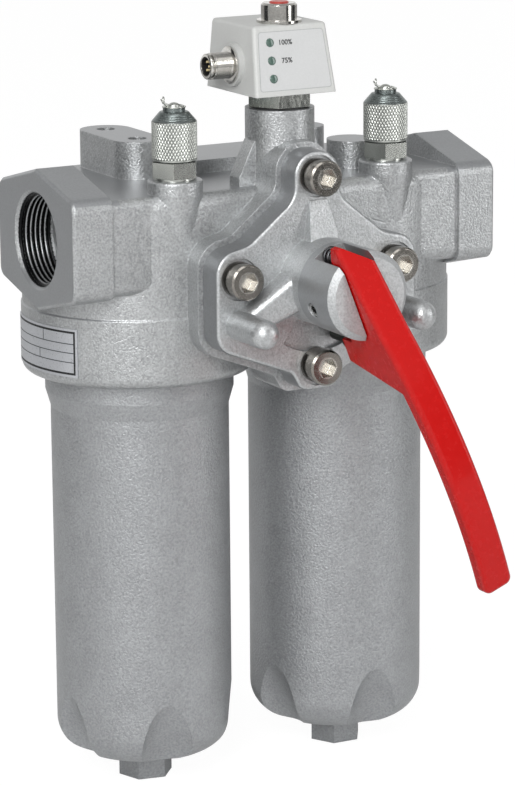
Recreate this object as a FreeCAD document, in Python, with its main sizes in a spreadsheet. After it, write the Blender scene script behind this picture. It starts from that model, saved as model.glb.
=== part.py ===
"""Duplex hydraulic filter with two screwed bowls, a changeover lever and a clogging indicator."""
import FreeCAD
import Part
import math
import os
import Sketcher

# The filter is drawn about its own middle: x = 0 between the bowls, y = 0 on the bowl axes,
# z = 0 on the port axis. Every sub-part's Placement then puts the origin at the centre of
# the left port's mouth, with +X towards the other port, +Y to the back and +Z up.

SIZES = [
    # ports and port flanges
    ("port_proud", 3.4, "how far a port face stands out from the bowl housing"),
    ("port_axis_back", -11.8, "port axis, measured back from the bowl axes"),
    ("port_major_dia", 41.91, "major diameter of the parallel pipe thread of the ports"),
    ("port_thread_depth", 18, "depth of the full thread"),
    ("port_chamfer", 1.2, "lead-in at the port's mouth"),
    ("channel_dia", 31, "cast channel behind the port thread"),
    ("flange_thick", 19.1, "length of the port flange"),
    ("flange_half_width", 39.2, "half width of the port flange"),
    ("flange_side_half", 21.8, "half height of the flange's upright sides"),
    ("flange_apex", 31.7, "height of the flange's ridge above the port axis"),
    ("flange_corner", 6, "rounding of the flange's outer corners"),
    ("neck_inset", 1.6, "how far the neck lies inside the flange's outline"),
    ("neck_round", 4, "rounding of the neck below the flat top"),
    # head casting
    ("bowl_spacing", 102.4, "distance between the two bowl axes"),
    ("housing_wall", 9.5, "how far a bowl housing stands out from the bowl's collar"),
    ("skirt_step", 0.6, "how far the skirt stands out from the housing"),
    ("skirt_top", -34, "height where the skirt starts"),
    ("skirt_bottom", -65, "height of the skirt's lower face"),
    ("skirt_round", 4.4, "rounding under the skirt"),
    ("head_top", 21, "height of the head's flat top"),
    ("head_round", 6, "rounding of the housings and the valve block below the flat top"),
    ("core_half_width", 44, "half width of the valve block between the housings"),
    ("core_front", -52, "front face of the valve block"),
    ("core_back", 34, "back face of the valve block"),
    ("core_bottom", -52, "underside of the valve block"),
    ("ledge_rise", 6, "height of the cast ledge on the flat top"),
    ("ledge_front", -4, "front edge of the cast ledge"),
    ("ledge_half_width", 27, "half width of the cast ledge"),
    ("bowl_thread_gap", 0.2, "radial clearance between a bowl's neck and its bore"),
    ("bowl_bore_top", -30, "ceiling of the bowl's thread"),
    ("chamber_room", 2, "radial clearance of the element's end cap in the filter chamber"),
    ("chamber_top", -19, "ceiling of the filter chamber"),
    ("spool_bore_dia", 36, "bore of the changeover spool"),
    ("spool_bore_end", 14, "blind end of the spool's bore"),
    ("spool_axis_up", -17.5, "height of the spool, hub and lever axis"),
    ("transfer_dia", 9, "passage from the spool's bore to a filter chamber"),
    ("transfer_drop", 1, "distance of that passage below the chamber's ceiling"),
    ("transfer_back", -22, "place of that passage, in front of the bowl axes"),
    # valve flange and cover
    ("cover_seat", -62.4, "joint face between head and cover"),
    ("cover_face", -75.2, "front face of the cover"),
    ("cover_top", 39.4, "top of the upper lobe"),
    ("cover_bottom", -67.2, "bottom of the lower lobe"),
    ("lobe_half", 11.3, "half width of the upper and lower lobe"),
    ("waist_up", 19, "height where the upper lobe ends"),
    ("shoulder_x", 34, "where the sloping shoulder meets the side lobe"),
    ("shoulder_up", 0.6, "height of that point"),
    ("side_half", 50.5, "half width of the cover"),
    ("side_top", -3.2, "top of the side lobe"),
    ("side_bottom", -44.4, "bottom of the side lobe"),
    ("heel_half", 13, "half width where the lower lobe starts"),
    ("heel_up", -59, "height where the lower lobe starts"),
    ("foot_half", 8.5, "half width of the lower lobe's foot"),
    ("lobe_round", 10.5, "rounding of the upper and side lobes"),
    ("heel_round", 6, "rounding of the lower lobe"),
    ("waist_round", 12, "rounding of the waists between the lobes"),
    ("rim_round", 1.6, "rounding of the cover's front rim"),
    ("flange_margin", 2.6, "how far the head's valve flange stands out around the cover"),
    ("flange_depth", 24, "length of the valve flange behind the joint face"),
    ("screw_up", 28.3, "height of the upper cover screw"),
    ("screw_down", -56.2, "height of the lower cover screw"),
    ("screw_side", 39.2, "half distance between the side screws"),
    ("screw_side_up", -13.9, "height of the side screws"),
    ("spot_dia", 18.6, "spot face of a cover screw"),
    ("spot_depth", 1.7, "depth of the spot face"),
    ("screw_dia", 10, "cover screw shank"),
    ("screw_head_dia", 16, "cover screw head"),
    ("screw_head_high", 10, "height of the screw head"),
    ("screw_hex", 8, "width across the flats of the screw's socket"),
    ("screw_grip", 18, "length of the screw in the head"),
    ("screw_long", 29, "length of the screw's shank"),
    ("head_edge", 0.8, "chamfer of the screw's head"),
    ("neck_boss_dia", 39, "boss on the cover behind the hub"),
    ("neck_boss_face", -91.6, "front face of that boss"),
    ("web_width_top", 9, "width of the tapered web at the upper screw"),
    ("web_width_low", 20, "width of the tapered web at the boss"),
    ("web_top", 18, "height where the web runs out"),
    ("web_face", -88, "front of the web at the boss"),
    ("finger_x", 39.6, "half distance between the two cast fingers"),
    ("finger_up", -34, "height of the cast fingers"),
    ("finger_dia", 13, "diameter of a cast finger"),
    ("finger_tip", -104, "rounded tip of a cast finger"),
    ("arm_face_low", -83, "front of the arm that joins a finger to the boss, at the finger"),
    ("arm_face_high", -89.5, "front of that arm at the boss"),
    ("arm_half_low", 6.2, "half height of the arm at the finger"),
    ("arm_half_high", 11, "half height of the arm at the boss"),
    ("arm_rise", 4, "height of the arm's middle above the boss's axis"),
    ("arm_end", 5, "where the arm ends inside the boss"),
    ("arm_round", 4, "rounding of the arm's long edges"),
    ("track_inner", 20.6, "inner radius of the lock bolt's curved track"),
    ("track_outer", 32.6, "outer radius of the track"),
    ("track_depth", 2.6, "depth of the track"),
    ("track_turn_margin", 11, "angle that the track runs on past the bolt's place"),
    ("seal_ring", 2.6, "section of the round seal rings"),
    ("stem_dia", 18, "stem of the hub where it passes the cover"),
    ("stem_sunk", 12, "how far the stem reaches into the spool"),
    ("stem_ring", 1.8, "section of the stem's seal ring"),
    ("stem_seal_at", -82, "place of the stem's seal ring"),
    ("cover_seal_dia", 42, "middle diameter of the cover's seal ring"),
    ("cover_groove", 2.4, "width and depth of that ring's groove"),
    ("waterway_front", -45, "front of the spool's cut-out"),
    ("waterway_back", 6, "back of the spool's cut-out"),
    ("waterway_open", 12, "height of the spool's cut-out"),
    ("waterway_web", 3, "web that stays in the middle of the spool"),
    ("running_gap", 0.05, "radial running clearance of shafts and pins"),
    ("face_gap", 0.4, "clearance between faces that turn past each other"),
    # changeover hub, lever, bolt and spring
    ("hub_dia", 39.4, "diameter of the hub"),
    ("hub_face", -120.3, "front face of the hub"),
    ("hub_chamfer", 2.6, "chamfer of the hub's front rim"),
    ("slot_width", 15.6, "width of the hub's slot"),
    ("slot_floor", -96.4, "floor of the hub's slot"),
    ("pin_dia", 7, "lever pin"),
    ("pin_back", -102.4, "place of the lever pin"),
    ("pin_wall", 1.6, "wall of the hollow lever pin"),
    ("pin_edge", 0.5, "chamfer of the pin's ends"),
    ("pin_long", 38, "length of the lever pin"),
    ("lever_turn", 21.5, "angle of the lever from straight down at rest"),
    ("lever_width", 14.6, "width of the lever"),
    ("lever_depth", 8.6, "depth of the lever's blade"),
    ("lever_end", -142, "lower end of the lever, below the hub axis"),
    ("lever_top", 26, "upper end of the lever, above the hub axis"),
    ("lever_top_face", -119.5, "front of the lever at its upper end"),
    ("lever_knee", -15, "height where the lever leaves the hub"),
    ("lever_knee_face", -132.4, "front of the lever at that height"),
    ("lever_sweep", 219, "radius of the lever's curved front"),
    ("lever_end_face", -144.6, "front of the lever at its lower end"),
    ("top_cut", 12, "slanted cut at the lever's upper right corner"),
    ("lever_round", 2.2, "rounding of the lever's long edges"),
    ("jaw_up", -22.4, "upper side of the jaw"),
    ("jaw_down", -33.4, "lower side of the jaw"),
    ("jaw_tip", -94, "rear end of the jaw"),
    ("knuckle_dia", 11, "knuckle of the lever round its pin"),
    ("blade_root", -41, "height where the blade meets the jaw"),
    ("blade_root_face", -131.8, "rear of the blade at that height"),
    ("spring_face", -111, "face of the lever where the spring presses"),
    ("lever_top_thick", 5, "thickness of the lever at its upper end"),
    ("lever_end_round", 3.5, "rounding of the lever's lower corners"),
    ("bolt_down", -26.8, "axis of the lock bolt below the hub axis"),
    ("bolt_dia", 7, "lock bolt"),
    ("bolt_collar_dia", 10.4, "collar of the lock bolt at the jaw"),
    ("bolt_collar_long", 6, "length of that collar"),
    ("bolt_reach", 2, "how far the bolt reaches into its track"),
    ("bolt_sunk", 5, "length of the bolt held in the jaw"),
    ("spring_up", 15.4, "axis of the lever spring above the hub axis"),
    ("spring_dia", 8.4, "outer diameter of the lever spring"),
    ("spring_wire", 1.3, "wire of the lever spring"),
    ("spring_turns", 5, "turns of the lever spring"),
    ("spring_sunk", 1.5, "depth of the spring's seat in the hub"),
    # test points
    ("test_half", 53.6, "half distance between the test points"),
    ("test_back", -42.8, "place of the test points, in front of the bowl axes"),
    ("test_boss_dia", 24.5, "cast boss under a test point"),
    ("test_boss_top", 27, "top of that boss"),
    ("test_boss_root", 30, "how far that boss runs down into the housing's wall"),
    ("test_boss_taper", 3.6, "how much the boss narrows on that way"),
    ("boss_rim", 1, "rounding of the cast bosses' rims"),
    ("test_hex", 19, "width across the flats of the test point's body"),
    ("test_hex_high", 7, "height of that hexagon"),
    ("test_seal_high", 1.2, "seal ring under the hexagon"),
    ("test_thread_dia", 16, "thread of the test point's cap"),
    ("test_tap_dia", 14, "thread of the test point in the head"),
    ("test_tap_long", 10, "length of that thread"),
    ("cap_dia", 20, "knurled cap of the test point"),
    ("cap_knurl_high", 17.6, "height of the knurled band"),
    ("cap_cone_high", 5.6, "height of the cap's cone"),
    ("cap_cone_dia", 10, "diameter at the top of the cone"),
    ("cap_lift", 0.3, "gap between the cap and the hexagon"),
    ("chain_wire", 1, "wire of the cap's ring"),
    ("chain_ring_dia", 8, "ring that lies on the cap"),
    # clogging indicator
    ("ind_back", -41, "place of the indicator, in front of the bowl axes"),
    ("ind_boss_dia", 31, "cast boss under the indicator"),
    ("ind_boss_top", 54.8, "top of that boss"),
    ("ind_rib_reach", 23, "how far the side ribs reach from the indicator's axis"),
    ("ind_rib_thick", 9, "thickness of the side ribs"),
    ("ind_rib_low", 25, "height of the ribs' outer ends"),
    ("ind_rib_top", 41, "height where the ribs meet the boss"),
    ("ind_hex", 27, "width across the flats of the indicator's adapter"),
    ("ind_hex_high", 6, "height of that hexagon"),
    ("ind_seal_high", 1, "seal ring under the adapter"),
    ("ind_tap_dia", 20, "thread of the adapter in the head"),
    ("ind_tap_long", 16, "length of that thread"),
    ("box_half_low", 20.4, "half width of the indicator housing at its foot"),
    ("box_half_top", 18.4, "half width at its top"),
    ("box_front_low", -57, "front of the housing at its foot"),
    ("box_front_top", -50.5, "front at its top"),
    ("box_back_low", -9.8, "back of the housing at its foot"),
    ("box_back_top", -11.6, "back at its top"),
    ("box_high", 30.6, "height of the housing"),
    ("box_round", 1.8, "rounding of the housing's edges"),
    ("led_dia", 3.9, "light on the housing's front"),
    ("led_left", -10.8, "place of the lights, from the indicator's axis"),
    ("led_low", 7.6, "height of the lowest light above the housing's foot"),
    ("led_pitch", 7.8, "spacing of the lights"),
    ("led_proud", 0.3, "how far a light stands out"),
    ("plug_back", -35.6, "axis of the round connector, in front of the bowl axes"),
    ("plug_up", 12.4, "height of the connector above the housing's foot"),
    ("plug_dia", 12, "thread of the connector"),
    ("plug_long", 13.6, "how far the connector stands out"),
    ("plug_bore", 8.6, "socket of the connector"),
    ("plug_bore_deep", 8, "depth of that socket"),
    ("plug_sunk", 5, "length of the connector inside the housing"),
    ("plug_insert_thick", 1.5, "insulating disc in the socket"),
    ("plug_pin_dia", 1, "contact pins"),
    ("plug_pin_ring", 3.6, "spacing of the contact pins"),
    ("plug_collar_dia", 19, "round collar of the housing round the connector"),
    ("plug_collar_high", 1.6, "height of that collar"),
    ("top_cap_dia", 16, "metal cap on the housing"),
    ("top_cap_high", 8.6, "height of that cap"),
    ("top_flange_dia", 20, "thin flange under the cap"),
    ("top_flange_high", 1.2, "height of that flange"),
    ("button_dia", 8.6, "red reset button"),
    ("button_proud", 0.6, "how far the button stands out at rest"),
    ("button_long", 6, "length of the button's guide"),
    ("button_down", 3, "length of the button below its guide"),
    # mounting pad and rear bosses
    ("pad_x", -47.6, "line of the two mounting holes"),
    ("pad_front", 5.6, "place of the front mounting hole"),
    ("pad_pitch", 32, "distance between the mounting holes"),
    ("pad_width", 24, "width of the mounting pad"),
    ("pad_top", 38, "top of the mounting pad"),
    ("pad_hole_dia", 8.5, "tap drill of the mounting holes"),
    ("pad_hole_deep", 14, "depth of the mounting holes"),
    ("lug_dia", 21.6, "round bosses on the right"),
    ("lug_top", 33.5, "top of those bosses"),
    ("lug_x", 49, "line of those bosses"),
    ("lug_front", -19, "place of the front one"),
    ("lug_pitch", 46, "distance between them"),
    # bowls
    ("bowl_dia", 81.4, "outer diameter of a bowl"),
    ("bowl_wall", 5, "wall of a bowl"),
    ("bowl_neck_step", 0.7, "how far the threaded neck is stepped in from the bowl's wall"),
    ("bowl_neck_top", -38, "top of the bowl's neck"),
    ("collar_proud", 2.3, "how far the collar at the bowl's mouth stands out from its wall"),
    ("collar_gap", 0.7, "gap between skirt and collar"),
    ("collar_high", 8.5, "height of the collar"),
    ("collar_taper", 8, "height of the taper below the collar"),
    ("bowl_groove_up", 3, "height of the seal's groove above the skirt's lower face"),
    ("bowl_floor", -246, "flat underside of a bowl"),
    ("bowl_floor_thick", 9, "thickness of the bowl's floor"),
    ("bowl_well_dia", 34, "inner diameter of the floor between the flutes"),
    ("bowl_dome_start", -206, "height where the bowl's inside starts to narrow"),
    ("foot_round", 15, "rounding of the bowl's foot"),
    ("bowl_hex", 22, "width across the flats of the bowl's hexagon"),
    ("bowl_hex_end", -260.4, "lower end of the hexagon"),
    ("flute_dia", 27, "grip flutes round the bowl's foot"),
    ("flute_bite", 1.2, "how far the flutes' centres lie inside the bowl's wall at the foot"),
    ("flute_top", -215, "upper end of the flutes"),
    ("flute_count", 5, "number of flutes"),
    ("flute_turn_left", -11, "turn of the left bowl, from a flute at the front"),
    ("flute_turn_right", -2, "turn of the right bowl, from a flute at the front"),
    # filter elements
    ("element_dia", 60, "outer diameter of the pleats"),
    ("element_root_dia", 44, "inner diameter of the pleats"),
    ("element_pleats", 36, "number of pleats"),
    ("element_top", -22, "top of the element"),
    ("element_bottom", -200, "bottom of the element"),
    ("element_foot_dia", 20, "stand of the element on the bowl's floor"),
    ("element_cap_high", 5, "height of an end cap"),
    ("element_cap_rim", 1, "how far an end cap stands out from the pleats"),
    ("core_tube_dia", 42, "support tube of the element"),
    ("core_tube_wall", 1.5, "wall of the support tube"),
    ("spigot_dia", 26, "outlet spigot of the head in the element"),
    ("spigot_bore_dia", 16, "bore of the spigot"),
    ("spigot_long", 14, "length of the spigot"),
    ("element_ring", 2, "section of the element's seal ring"),
    # nameplate
    ("plate_turn_start", 157, "start of the nameplate round the left skirt"),
    ("plate_turn_end", 213, "end of the nameplate"),
    ("plate_top", -38.5, "top of the nameplate"),
    ("plate_bottom", -60.4, "bottom of the nameplate"),
    ("plate_thick", 0.4, "thickness of the nameplate"),
]

doc = FreeCAD.newDocument("duplex_filter")
sheet = doc.addObject("Spreadsheet::Sheet", "Sizes")
for row, (alias, number, note) in enumerate(SIZES, start=1):
    sheet.set("A%d" % row, alias)
    sheet.set("B%d" % row, str(number))
    sheet.set("C%d" % row, note)
    sheet.setAlias("B%d" % row, alias)
doc.recompute()


def size(expression):
    """The value of an expression in the sheet's aliases."""
    return float(sheet.evalExpression(str(expression)))


def bound(expression):
    """The same expression as another object of the document writes it."""
    words = str(expression)
    out = ""
    word = ""
    for sign in words + " ":
        if sign.isalnum() or sign == "_":
            word += sign
            continue
        out += ("Sizes." + word) if word and word[0].isalpha() and word in ALIASES else word
        out += sign
        word = ""
    return out.strip()


ALIASES = {alias for alias, number, note in SIZES}

# Radii and distances that follow from the sizes, each written once.
BOWL = "(bowl_dia / 2)"
COLLAR = "(%s + collar_proud)" % BOWL
HOUSING = "(%s + housing_wall)" % COLLAR
BOWL_NECK = "(%s - bowl_neck_step)" % BOWL
BOWL_BORE = "(%s + bowl_thread_gap)" % BOWL_NECK
END_CAP = "(element_dia / 2 + element_cap_rim)"
PORT_FACE = "(bowl_spacing / 2 + %s + port_proud)" % HOUSING


def plane_of(body, role):
    """One of the body's own origin planes."""
    return [plane for plane in body.Origin.OriginFeatures if plane.Role == role][0]


def new_body(name):
    body = doc.addObject("PartDesign::Body", name)
    body.Label = name
    return body


def new_sketch(body, role, name, lift=0, across=0, upward=0):
    """A sketch on an origin plane, moved along the plane's normal and within the plane."""
    sketch = body.newObject("Sketcher::SketchObject", name)
    sketch.AttachmentSupport = [(plane_of(body, role), "")]
    sketch.MapMode = "FlatFace"
    for axis, offset in (("x", across), ("y", upward), ("z", lift)):
        if offset != 0:
            sketch.setExpression("AttachmentOffset.Base." + axis, bound(offset))
    return sketch


def tie(sketch, geometry, point, expressions):
    """Hold a point of a sketch's geometry at two distances from the sketch's origin."""
    for kind, expression in zip(("DistanceX", "DistanceY"), expressions):
        index = sketch.addConstraint(Sketcher.Constraint(kind, -1, 1, geometry, point, size(expression)))
        sketch.setExpression("Constraints[%d]" % index, bound(expression))


def vector(expressions):
    return FreeCAD.Vector(size(expressions[0]), size(expressions[1]), 0)


def draw_outline(sketch, corners):
    """A closed outline. A third entry in a corner is the radius of the arc that leads to the next
    corner: it bulges to the left of its way, or to the right where it starts with a minus sign."""
    count = len(corners)
    starts = []
    for number, corner in enumerate(corners):
        start = vector(corner)
        end = vector(corners[(number + 1) % count])
        starts.append(1)
        if len(corner) == 2:
            sketch.addGeometry(Part.LineSegment(start, end), False)
            continue
        radius = size(corner[2].lstrip("-"))
        inward = FreeCAD.Vector(end.y - start.y, start.x - end.x, 0)
        ends = [end, start]
        starts[number] = 2
        if corner[2].startswith("-"):
            inward = -inward
            ends = [start, end]
            starts[number] = 1
        drop = math.sqrt(radius ** 2 - (inward.Length / 2) ** 2)
        centre = (start + end) / 2 + inward.normalize() * drop
        angles = [math.atan2(point.y - centre.y, point.x - centre.x) for point in ends]
        if angles[1] < angles[0]:
            angles[1] += 2 * math.pi
        circle = Part.Circle(centre, FreeCAD.Vector(0, 0, 1), radius)
        sketch.addGeometry(Part.ArcOfCircle(circle, angles[0], angles[1]), False)
        index = sketch.addConstraint(Sketcher.Constraint("Radius", number, radius))
        sketch.setExpression("Constraints[%d]" % index, bound(corner[2].lstrip("-")))
    for number in range(count):
        following = (number + 1) % count
        sketch.addConstraint(
            Sketcher.Constraint("Coincident", number, 3 - starts[number], following, starts[following]))
    for number, corner in enumerate(corners):
        tie(sketch, number, starts[number], corner[:2])


def round_corner(sketch, corner, radius):
    """Round the corner of an outline where its line of that number starts, and keep the corner's place."""
    known = sketch.GeometryCount
    sketch.fillet(corner, 1, size(radius), True, True)
    for number in range(known, sketch.GeometryCount):
        if isinstance(sketch.Geometry[number], Part.ArcOfCircle):
            index = sketch.addConstraint(Sketcher.Constraint("Radius", number, size(radius)))
            sketch.setExpression("Constraints[%d]" % index, bound(radius))


def draw_circle(sketch, x, y, diameter):
    centre = vector((x, y))
    number = sketch.addGeometry(Part.Circle(centre, FreeCAD.Vector(0, 0, 1), size(diameter) / 2), False)
    tie(sketch, number, 3, (x, y))
    index = sketch.addConstraint(Sketcher.Constraint("Diameter", number, size(diameter)))
    sketch.setExpression("Constraints[%d]" % index, bound(diameter))


def draw_hexagon(sketch, flats):
    """A regular hexagon about the sketch's origin, by its width across flats."""
    side = "(%s) / sqrt(3)" % flats
    half = "(%s) / 2" % flats
    draw_outline(sketch, [
        (side, "0"), ("%s / 2" % side, half), ("-%s / 2" % side, half),
        ("-%s" % side, "0"), ("-%s / 2" % side, "-" + half), ("%s / 2" % side, "-" + half)])


def extrude(body, kind, name, sketch, length, reverse=False):
    """A Pad along the sketch's normal, or a Pocket against it; reverse turns either round."""
    feature = body.newObject("PartDesign::" + kind, name)
    feature.Profile = sketch
    feature.setExpression("Length", bound(length))
    feature.Reversed = reverse
    return feature


def spin(body, kind, name, sketch, axis, angle=360):
    """A full Revolution or Groove about one of the sketch's axes."""
    feature = body.newObject("PartDesign::" + kind, name)
    feature.Profile = sketch
    feature.ReferenceAxis = (sketch, [axis])
    feature.Angle = angle
    return feature


def mirror(body, name, features):
    """Copies of features on the other side of the body's YZ plane."""
    feature = body.newObject("PartDesign::Mirrored", name)
    feature.Originals = features
    feature.MirrorPlane = (plane_of(body, "YZ_Plane"), [""])
    body.Tip = feature
    return feature


def blend(body, kind, name, value, wanted):
    """A Fillet or Chamfer on the edges of the body that a test picks out."""
    doc.recompute()
    base = body.Tip
    names = ["Edge%d" % number for number, edge in enumerate(base.Shape.Edges, start=1)
             if not edge.Degenerated and wanted(edge)]
    if not names:
        raise RuntimeError("no edge for " + name)
    feature = body.newObject("PartDesign::" + kind, name)
    feature.Base = (base, names)
    feature.setExpression("Radius" if kind == "Fillet" else "Size", bound(value))
    return feature


def near(value, target, tolerance=0.01):
    return abs(value - target) < tolerance


def along(edge, axis):
    """True for a straight edge that runs along the axis x, y or z."""
    if not isinstance(edge.Curve, Part.Line):
        return False
    return near(abs(getattr(edge.Curve.Direction, axis)), 1, 1e-6)


def place(part, back="0", up="0", across="0", turn=None):
    """Seat a finished sub-part in the filter's frame, whose origin is the left port's mouth."""
    if turn:
        part.Placement = FreeCAD.Placement(
            FreeCAD.Vector(), FreeCAD.Rotation(FreeCAD.Vector(0, 1, 0), 1))
        part.setExpression("Placement.Rotation.Angle", bound("-" + turn))
    part.setExpression("Placement.Base.x", bound("%s + (%s)" % (PORT_FACE, across)))
    part.setExpression("Placement.Base.y", bound("(%s) - port_axis_back" % back))
    part.setExpression("Placement.Base.z", bound(up))
    NODES.append(part)


NODES = []


def valve_outline(extra):
    """The four-lobed outline shared by the cover and the head's valve flange, right half first."""
    right = [
        ("lobe_half + %s" % extra, "cover_top + %s" % extra),
        ("lobe_half + %s" % extra, "waist_up + %s" % extra),
        ("shoulder_x + %s" % extra, "shoulder_up + %s" % extra),
        ("side_half + %s" % extra, "side_top + %s" % extra),
        ("side_half + %s" % extra, "side_bottom - %s" % extra),
        ("heel_half + %s" % extra, "heel_up - %s" % extra),
        ("foot_half + %s" % extra, "cover_bottom - %s" % extra),
    ]
    left = [("-(%s)" % x, z) for x, z in reversed(right)]
    return right + left


def draw_valve_outline(sketch, extra):
    """The valve outline with its lobes, heels and waists rounded; waists lose what lobes gain."""
    draw_outline(sketch, valve_outline(extra))
    groups = (("lobe_round + %s" % extra, (0, 3, 4, 9, 10, 13)), ("heel_round", (5, 6, 7, 8)),
              ("waist_round - %s" % extra, (1, 2, 11, 12)))
    for radius, corners in groups:
        for corner in corners:
            round_corner(sketch, corner, radius)


def make_head():
    """The cast head: two bowl housings, the valve block, port flanges, bosses and passages."""
    body = new_body("filter_head")

    # Left bowl housing with its skirt, turned about the bowl axis, and its mirror image.
    sketch = new_sketch(body, "XZ_Plane", "housing_profile", across="-bowl_spacing / 2")
    skirt = HOUSING + " + skirt_step"
    draw_outline(sketch, [
        ("0", "head_top"), (HOUSING + " - head_round", "head_top", "head_round"),
        (HOUSING, "head_top - head_round"), (HOUSING, "skirt_top + skirt_step"),
        (skirt, "skirt_top"), (skirt, "skirt_bottom + skirt_round", "skirt_round"),
        (skirt + " - skirt_round", "skirt_bottom"), ("0", "skirt_bottom")])
    housing = spin(body, "Revolution", "housing", sketch, "V_Axis")
    mirror(body, "housings", [housing])

    # Valve block between the housings.
    sketch = new_sketch(body, "YZ_Plane", "core_outline", lift="-core_half_width")
    draw_outline(sketch, [
        ("core_front", "core_bottom"), ("core_front", "head_top - head_round", "head_round"),
        ("core_front + head_round", "head_top"), ("core_back", "head_top"), ("core_back", "core_bottom")])
    extrude(body, "Pad", "core_block", sketch, "2 * core_half_width")

    # Neck that joins the two port flanges through the housings, flat on top.
    neck = "(%s - flange_thick)" % PORT_FACE
    sketch = new_sketch(body, "YZ_Plane", "neck_outline", lift="-" + neck, across="port_axis_back")
    side = "flange_half_width - neck_inset"
    foot = "-(flange_side_half - neck_inset / 2)"
    draw_outline(sketch, [
        ("-(%s)" % side, foot), ("-(%s)" % side, "head_top"), (side, "head_top"), (side, foot),
        ("0", "-(flange_apex - neck_inset)")])
    for corner, radius in ((0, "flange_corner"), (1, "neck_round"), (2, "neck_round"), (3, "flange_corner")):
        round_corner(sketch, corner, radius)
    extrude(body, "Pad", "neck", sketch, "2 * " + neck)

    # Port flanges.
    sketch = new_sketch(body, "YZ_Plane", "flange_outline", lift="-" + PORT_FACE, across="port_axis_back")
    draw_outline(sketch, [
        ("-flange_half_width", "flange_side_half"), ("-flange_half_width", "-flange_side_half"),
        ("0", "-flange_apex"), ("flange_half_width", "-flange_side_half"),
        ("flange_half_width", "flange_side_half"), ("0", "flange_apex")])
    for corner in (0, 1, 3, 4):
        round_corner(sketch, corner, "flange_corner")
    flange = extrude(body, "Pad", "flange", sketch, "flange_thick")
    mirror(body, "flanges", [flange])

    # Valve flange with the cover's outline and a margin.
    sketch = new_sketch(body, "XZ_Plane", "valve_flange_outline", lift="-(cover_seat + flange_depth)")
    draw_valve_outline(sketch, "flange_margin")
    extrude(body, "Pad", "valve_flange", sketch, "flange_depth")

    # Bosses of the test points and of the indicator.
    sketch = new_sketch(body, "XZ_Plane", "test_boss_profile", lift="-test_back", across="-test_half")
    draw_outline(sketch, [
        ("0", "test_boss_top"), ("test_boss_dia / 2 - boss_rim", "test_boss_top", "boss_rim"),
        ("test_boss_dia / 2", "test_boss_top - boss_rim"), ("test_boss_dia / 2", "head_top"),
        ("test_boss_dia / 2 - test_boss_taper", "head_top - test_boss_root"),
        ("0", "head_top - test_boss_root")])
    boss = spin(body, "Revolution", "test_boss", sketch, "V_Axis")
    mirror(body, "test_bosses", [boss])
    sketch = new_sketch(body, "XY_Plane", "indicator_boss_outline")
    draw_circle(sketch, "0", "ind_back", "ind_boss_dia")
    extrude(body, "Pad", "indicator_boss", sketch, "ind_boss_top")
    sketch = new_sketch(body, "XZ_Plane", "indicator_rib_outline", lift="-(ind_back + ind_rib_thick / 2)")
    draw_outline(sketch, [
        ("-ind_rib_reach", "head_top - 2"), ("ind_rib_reach", "head_top - 2"),
        ("ind_rib_reach", "ind_rib_low"), ("ind_boss_dia / 2", "ind_rib_top"),
        ("-ind_boss_dia / 2", "ind_rib_top"), ("-ind_rib_reach", "ind_rib_low")])
    extrude(body, "Pad", "indicator_rib", sketch, "ind_rib_thick")

    # Mounting pad on the left, round lugs on the right and the raised ledge at the back.
    sketch = new_sketch(body, "XY_Plane", "pad_outline", lift="head_top - 4")
    draw_outline(sketch, [
        ("pad_x - pad_width / 2", "pad_front"), ("pad_x + pad_width / 2", "pad_front"),
        ("pad_x + pad_width / 2", "pad_front + pad_pitch"),
        ("pad_x - pad_width / 2", "pad_front + pad_pitch")])
    extrude(body, "Pad", "pad_block", sketch, "pad_top - head_top + 4")
    for word, place_back in (("front", "pad_front"), ("back", "pad_front + pad_pitch")):
        sketch = new_sketch(body, "XY_Plane", "pad_%s_outline" % word, lift="head_top - 4")
        draw_circle(sketch, "pad_x", place_back, "pad_width")
        extrude(body, "Pad", "pad_%s_end" % word, sketch, "pad_top - head_top + 4")
    for word, place_back in (("front", "lug_front"), ("back", "lug_front + lug_pitch")):
        sketch = new_sketch(body, "XY_Plane", "lug_%s_outline" % word, lift="head_top - 4")
        draw_circle(sketch, "lug_x", place_back, "lug_dia")
        extrude(body, "Pad", "lug_" + word, sketch, "lug_top - head_top + 4")
    sketch = new_sketch(body, "XY_Plane", "ledge_outline", lift="head_top - 2")
    draw_outline(sketch, [
        ("-ledge_half_width", "ledge_front"), ("ledge_half_width", "ledge_front"),
        ("ledge_half_width", "core_back"), ("-ledge_half_width", "core_back")])
    extrude(body, "Pad", "ledge", sketch, "ledge_rise + 2")

    # Chambers and bowl threads, cut from below.
    for word, radius, ceiling in (("thread", BOWL_BORE, "bowl_bore_top"),
                                  ("chamber", END_CAP + " + chamber_room", "chamber_top")):
        sketch = new_sketch(body, "XY_Plane", "bowl_%s_outline" % word, lift=ceiling)
        draw_circle(sketch, "-bowl_spacing / 2", "0", "2 * (%s)" % radius)
        cut = extrude(body, "Pocket", "bowl_" + word, sketch, "(%s) - skirt_bottom" % ceiling)
        mirror(body, "bowl_%s_pair" % word, [cut])

    # Outlet spigots that carry the filter elements.
    sketch = new_sketch(body, "XY_Plane", "spigot_outline", lift="chamber_top - spigot_long")
    draw_circle(sketch, "-bowl_spacing / 2", "0", "spigot_dia")
    draw_circle(sketch, "-bowl_spacing / 2", "0", "spigot_bore_dia")
    spigot = extrude(body, "Pad", "spigot", sketch, "spigot_long + 1")
    mirror(body, "spigots", [spigot])
    sketch = new_sketch(body, "XY_Plane", "spigot_bore_outline", lift="-channel_dia / 4")
    draw_circle(sketch, "-bowl_spacing / 2", "0", "spigot_bore_dia")
    cut = extrude(body, "Pocket", "spigot_bore", sketch, "-channel_dia / 4 - chamber_top + 2")
    mirror(body, "spigot_bores", [cut])

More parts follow.
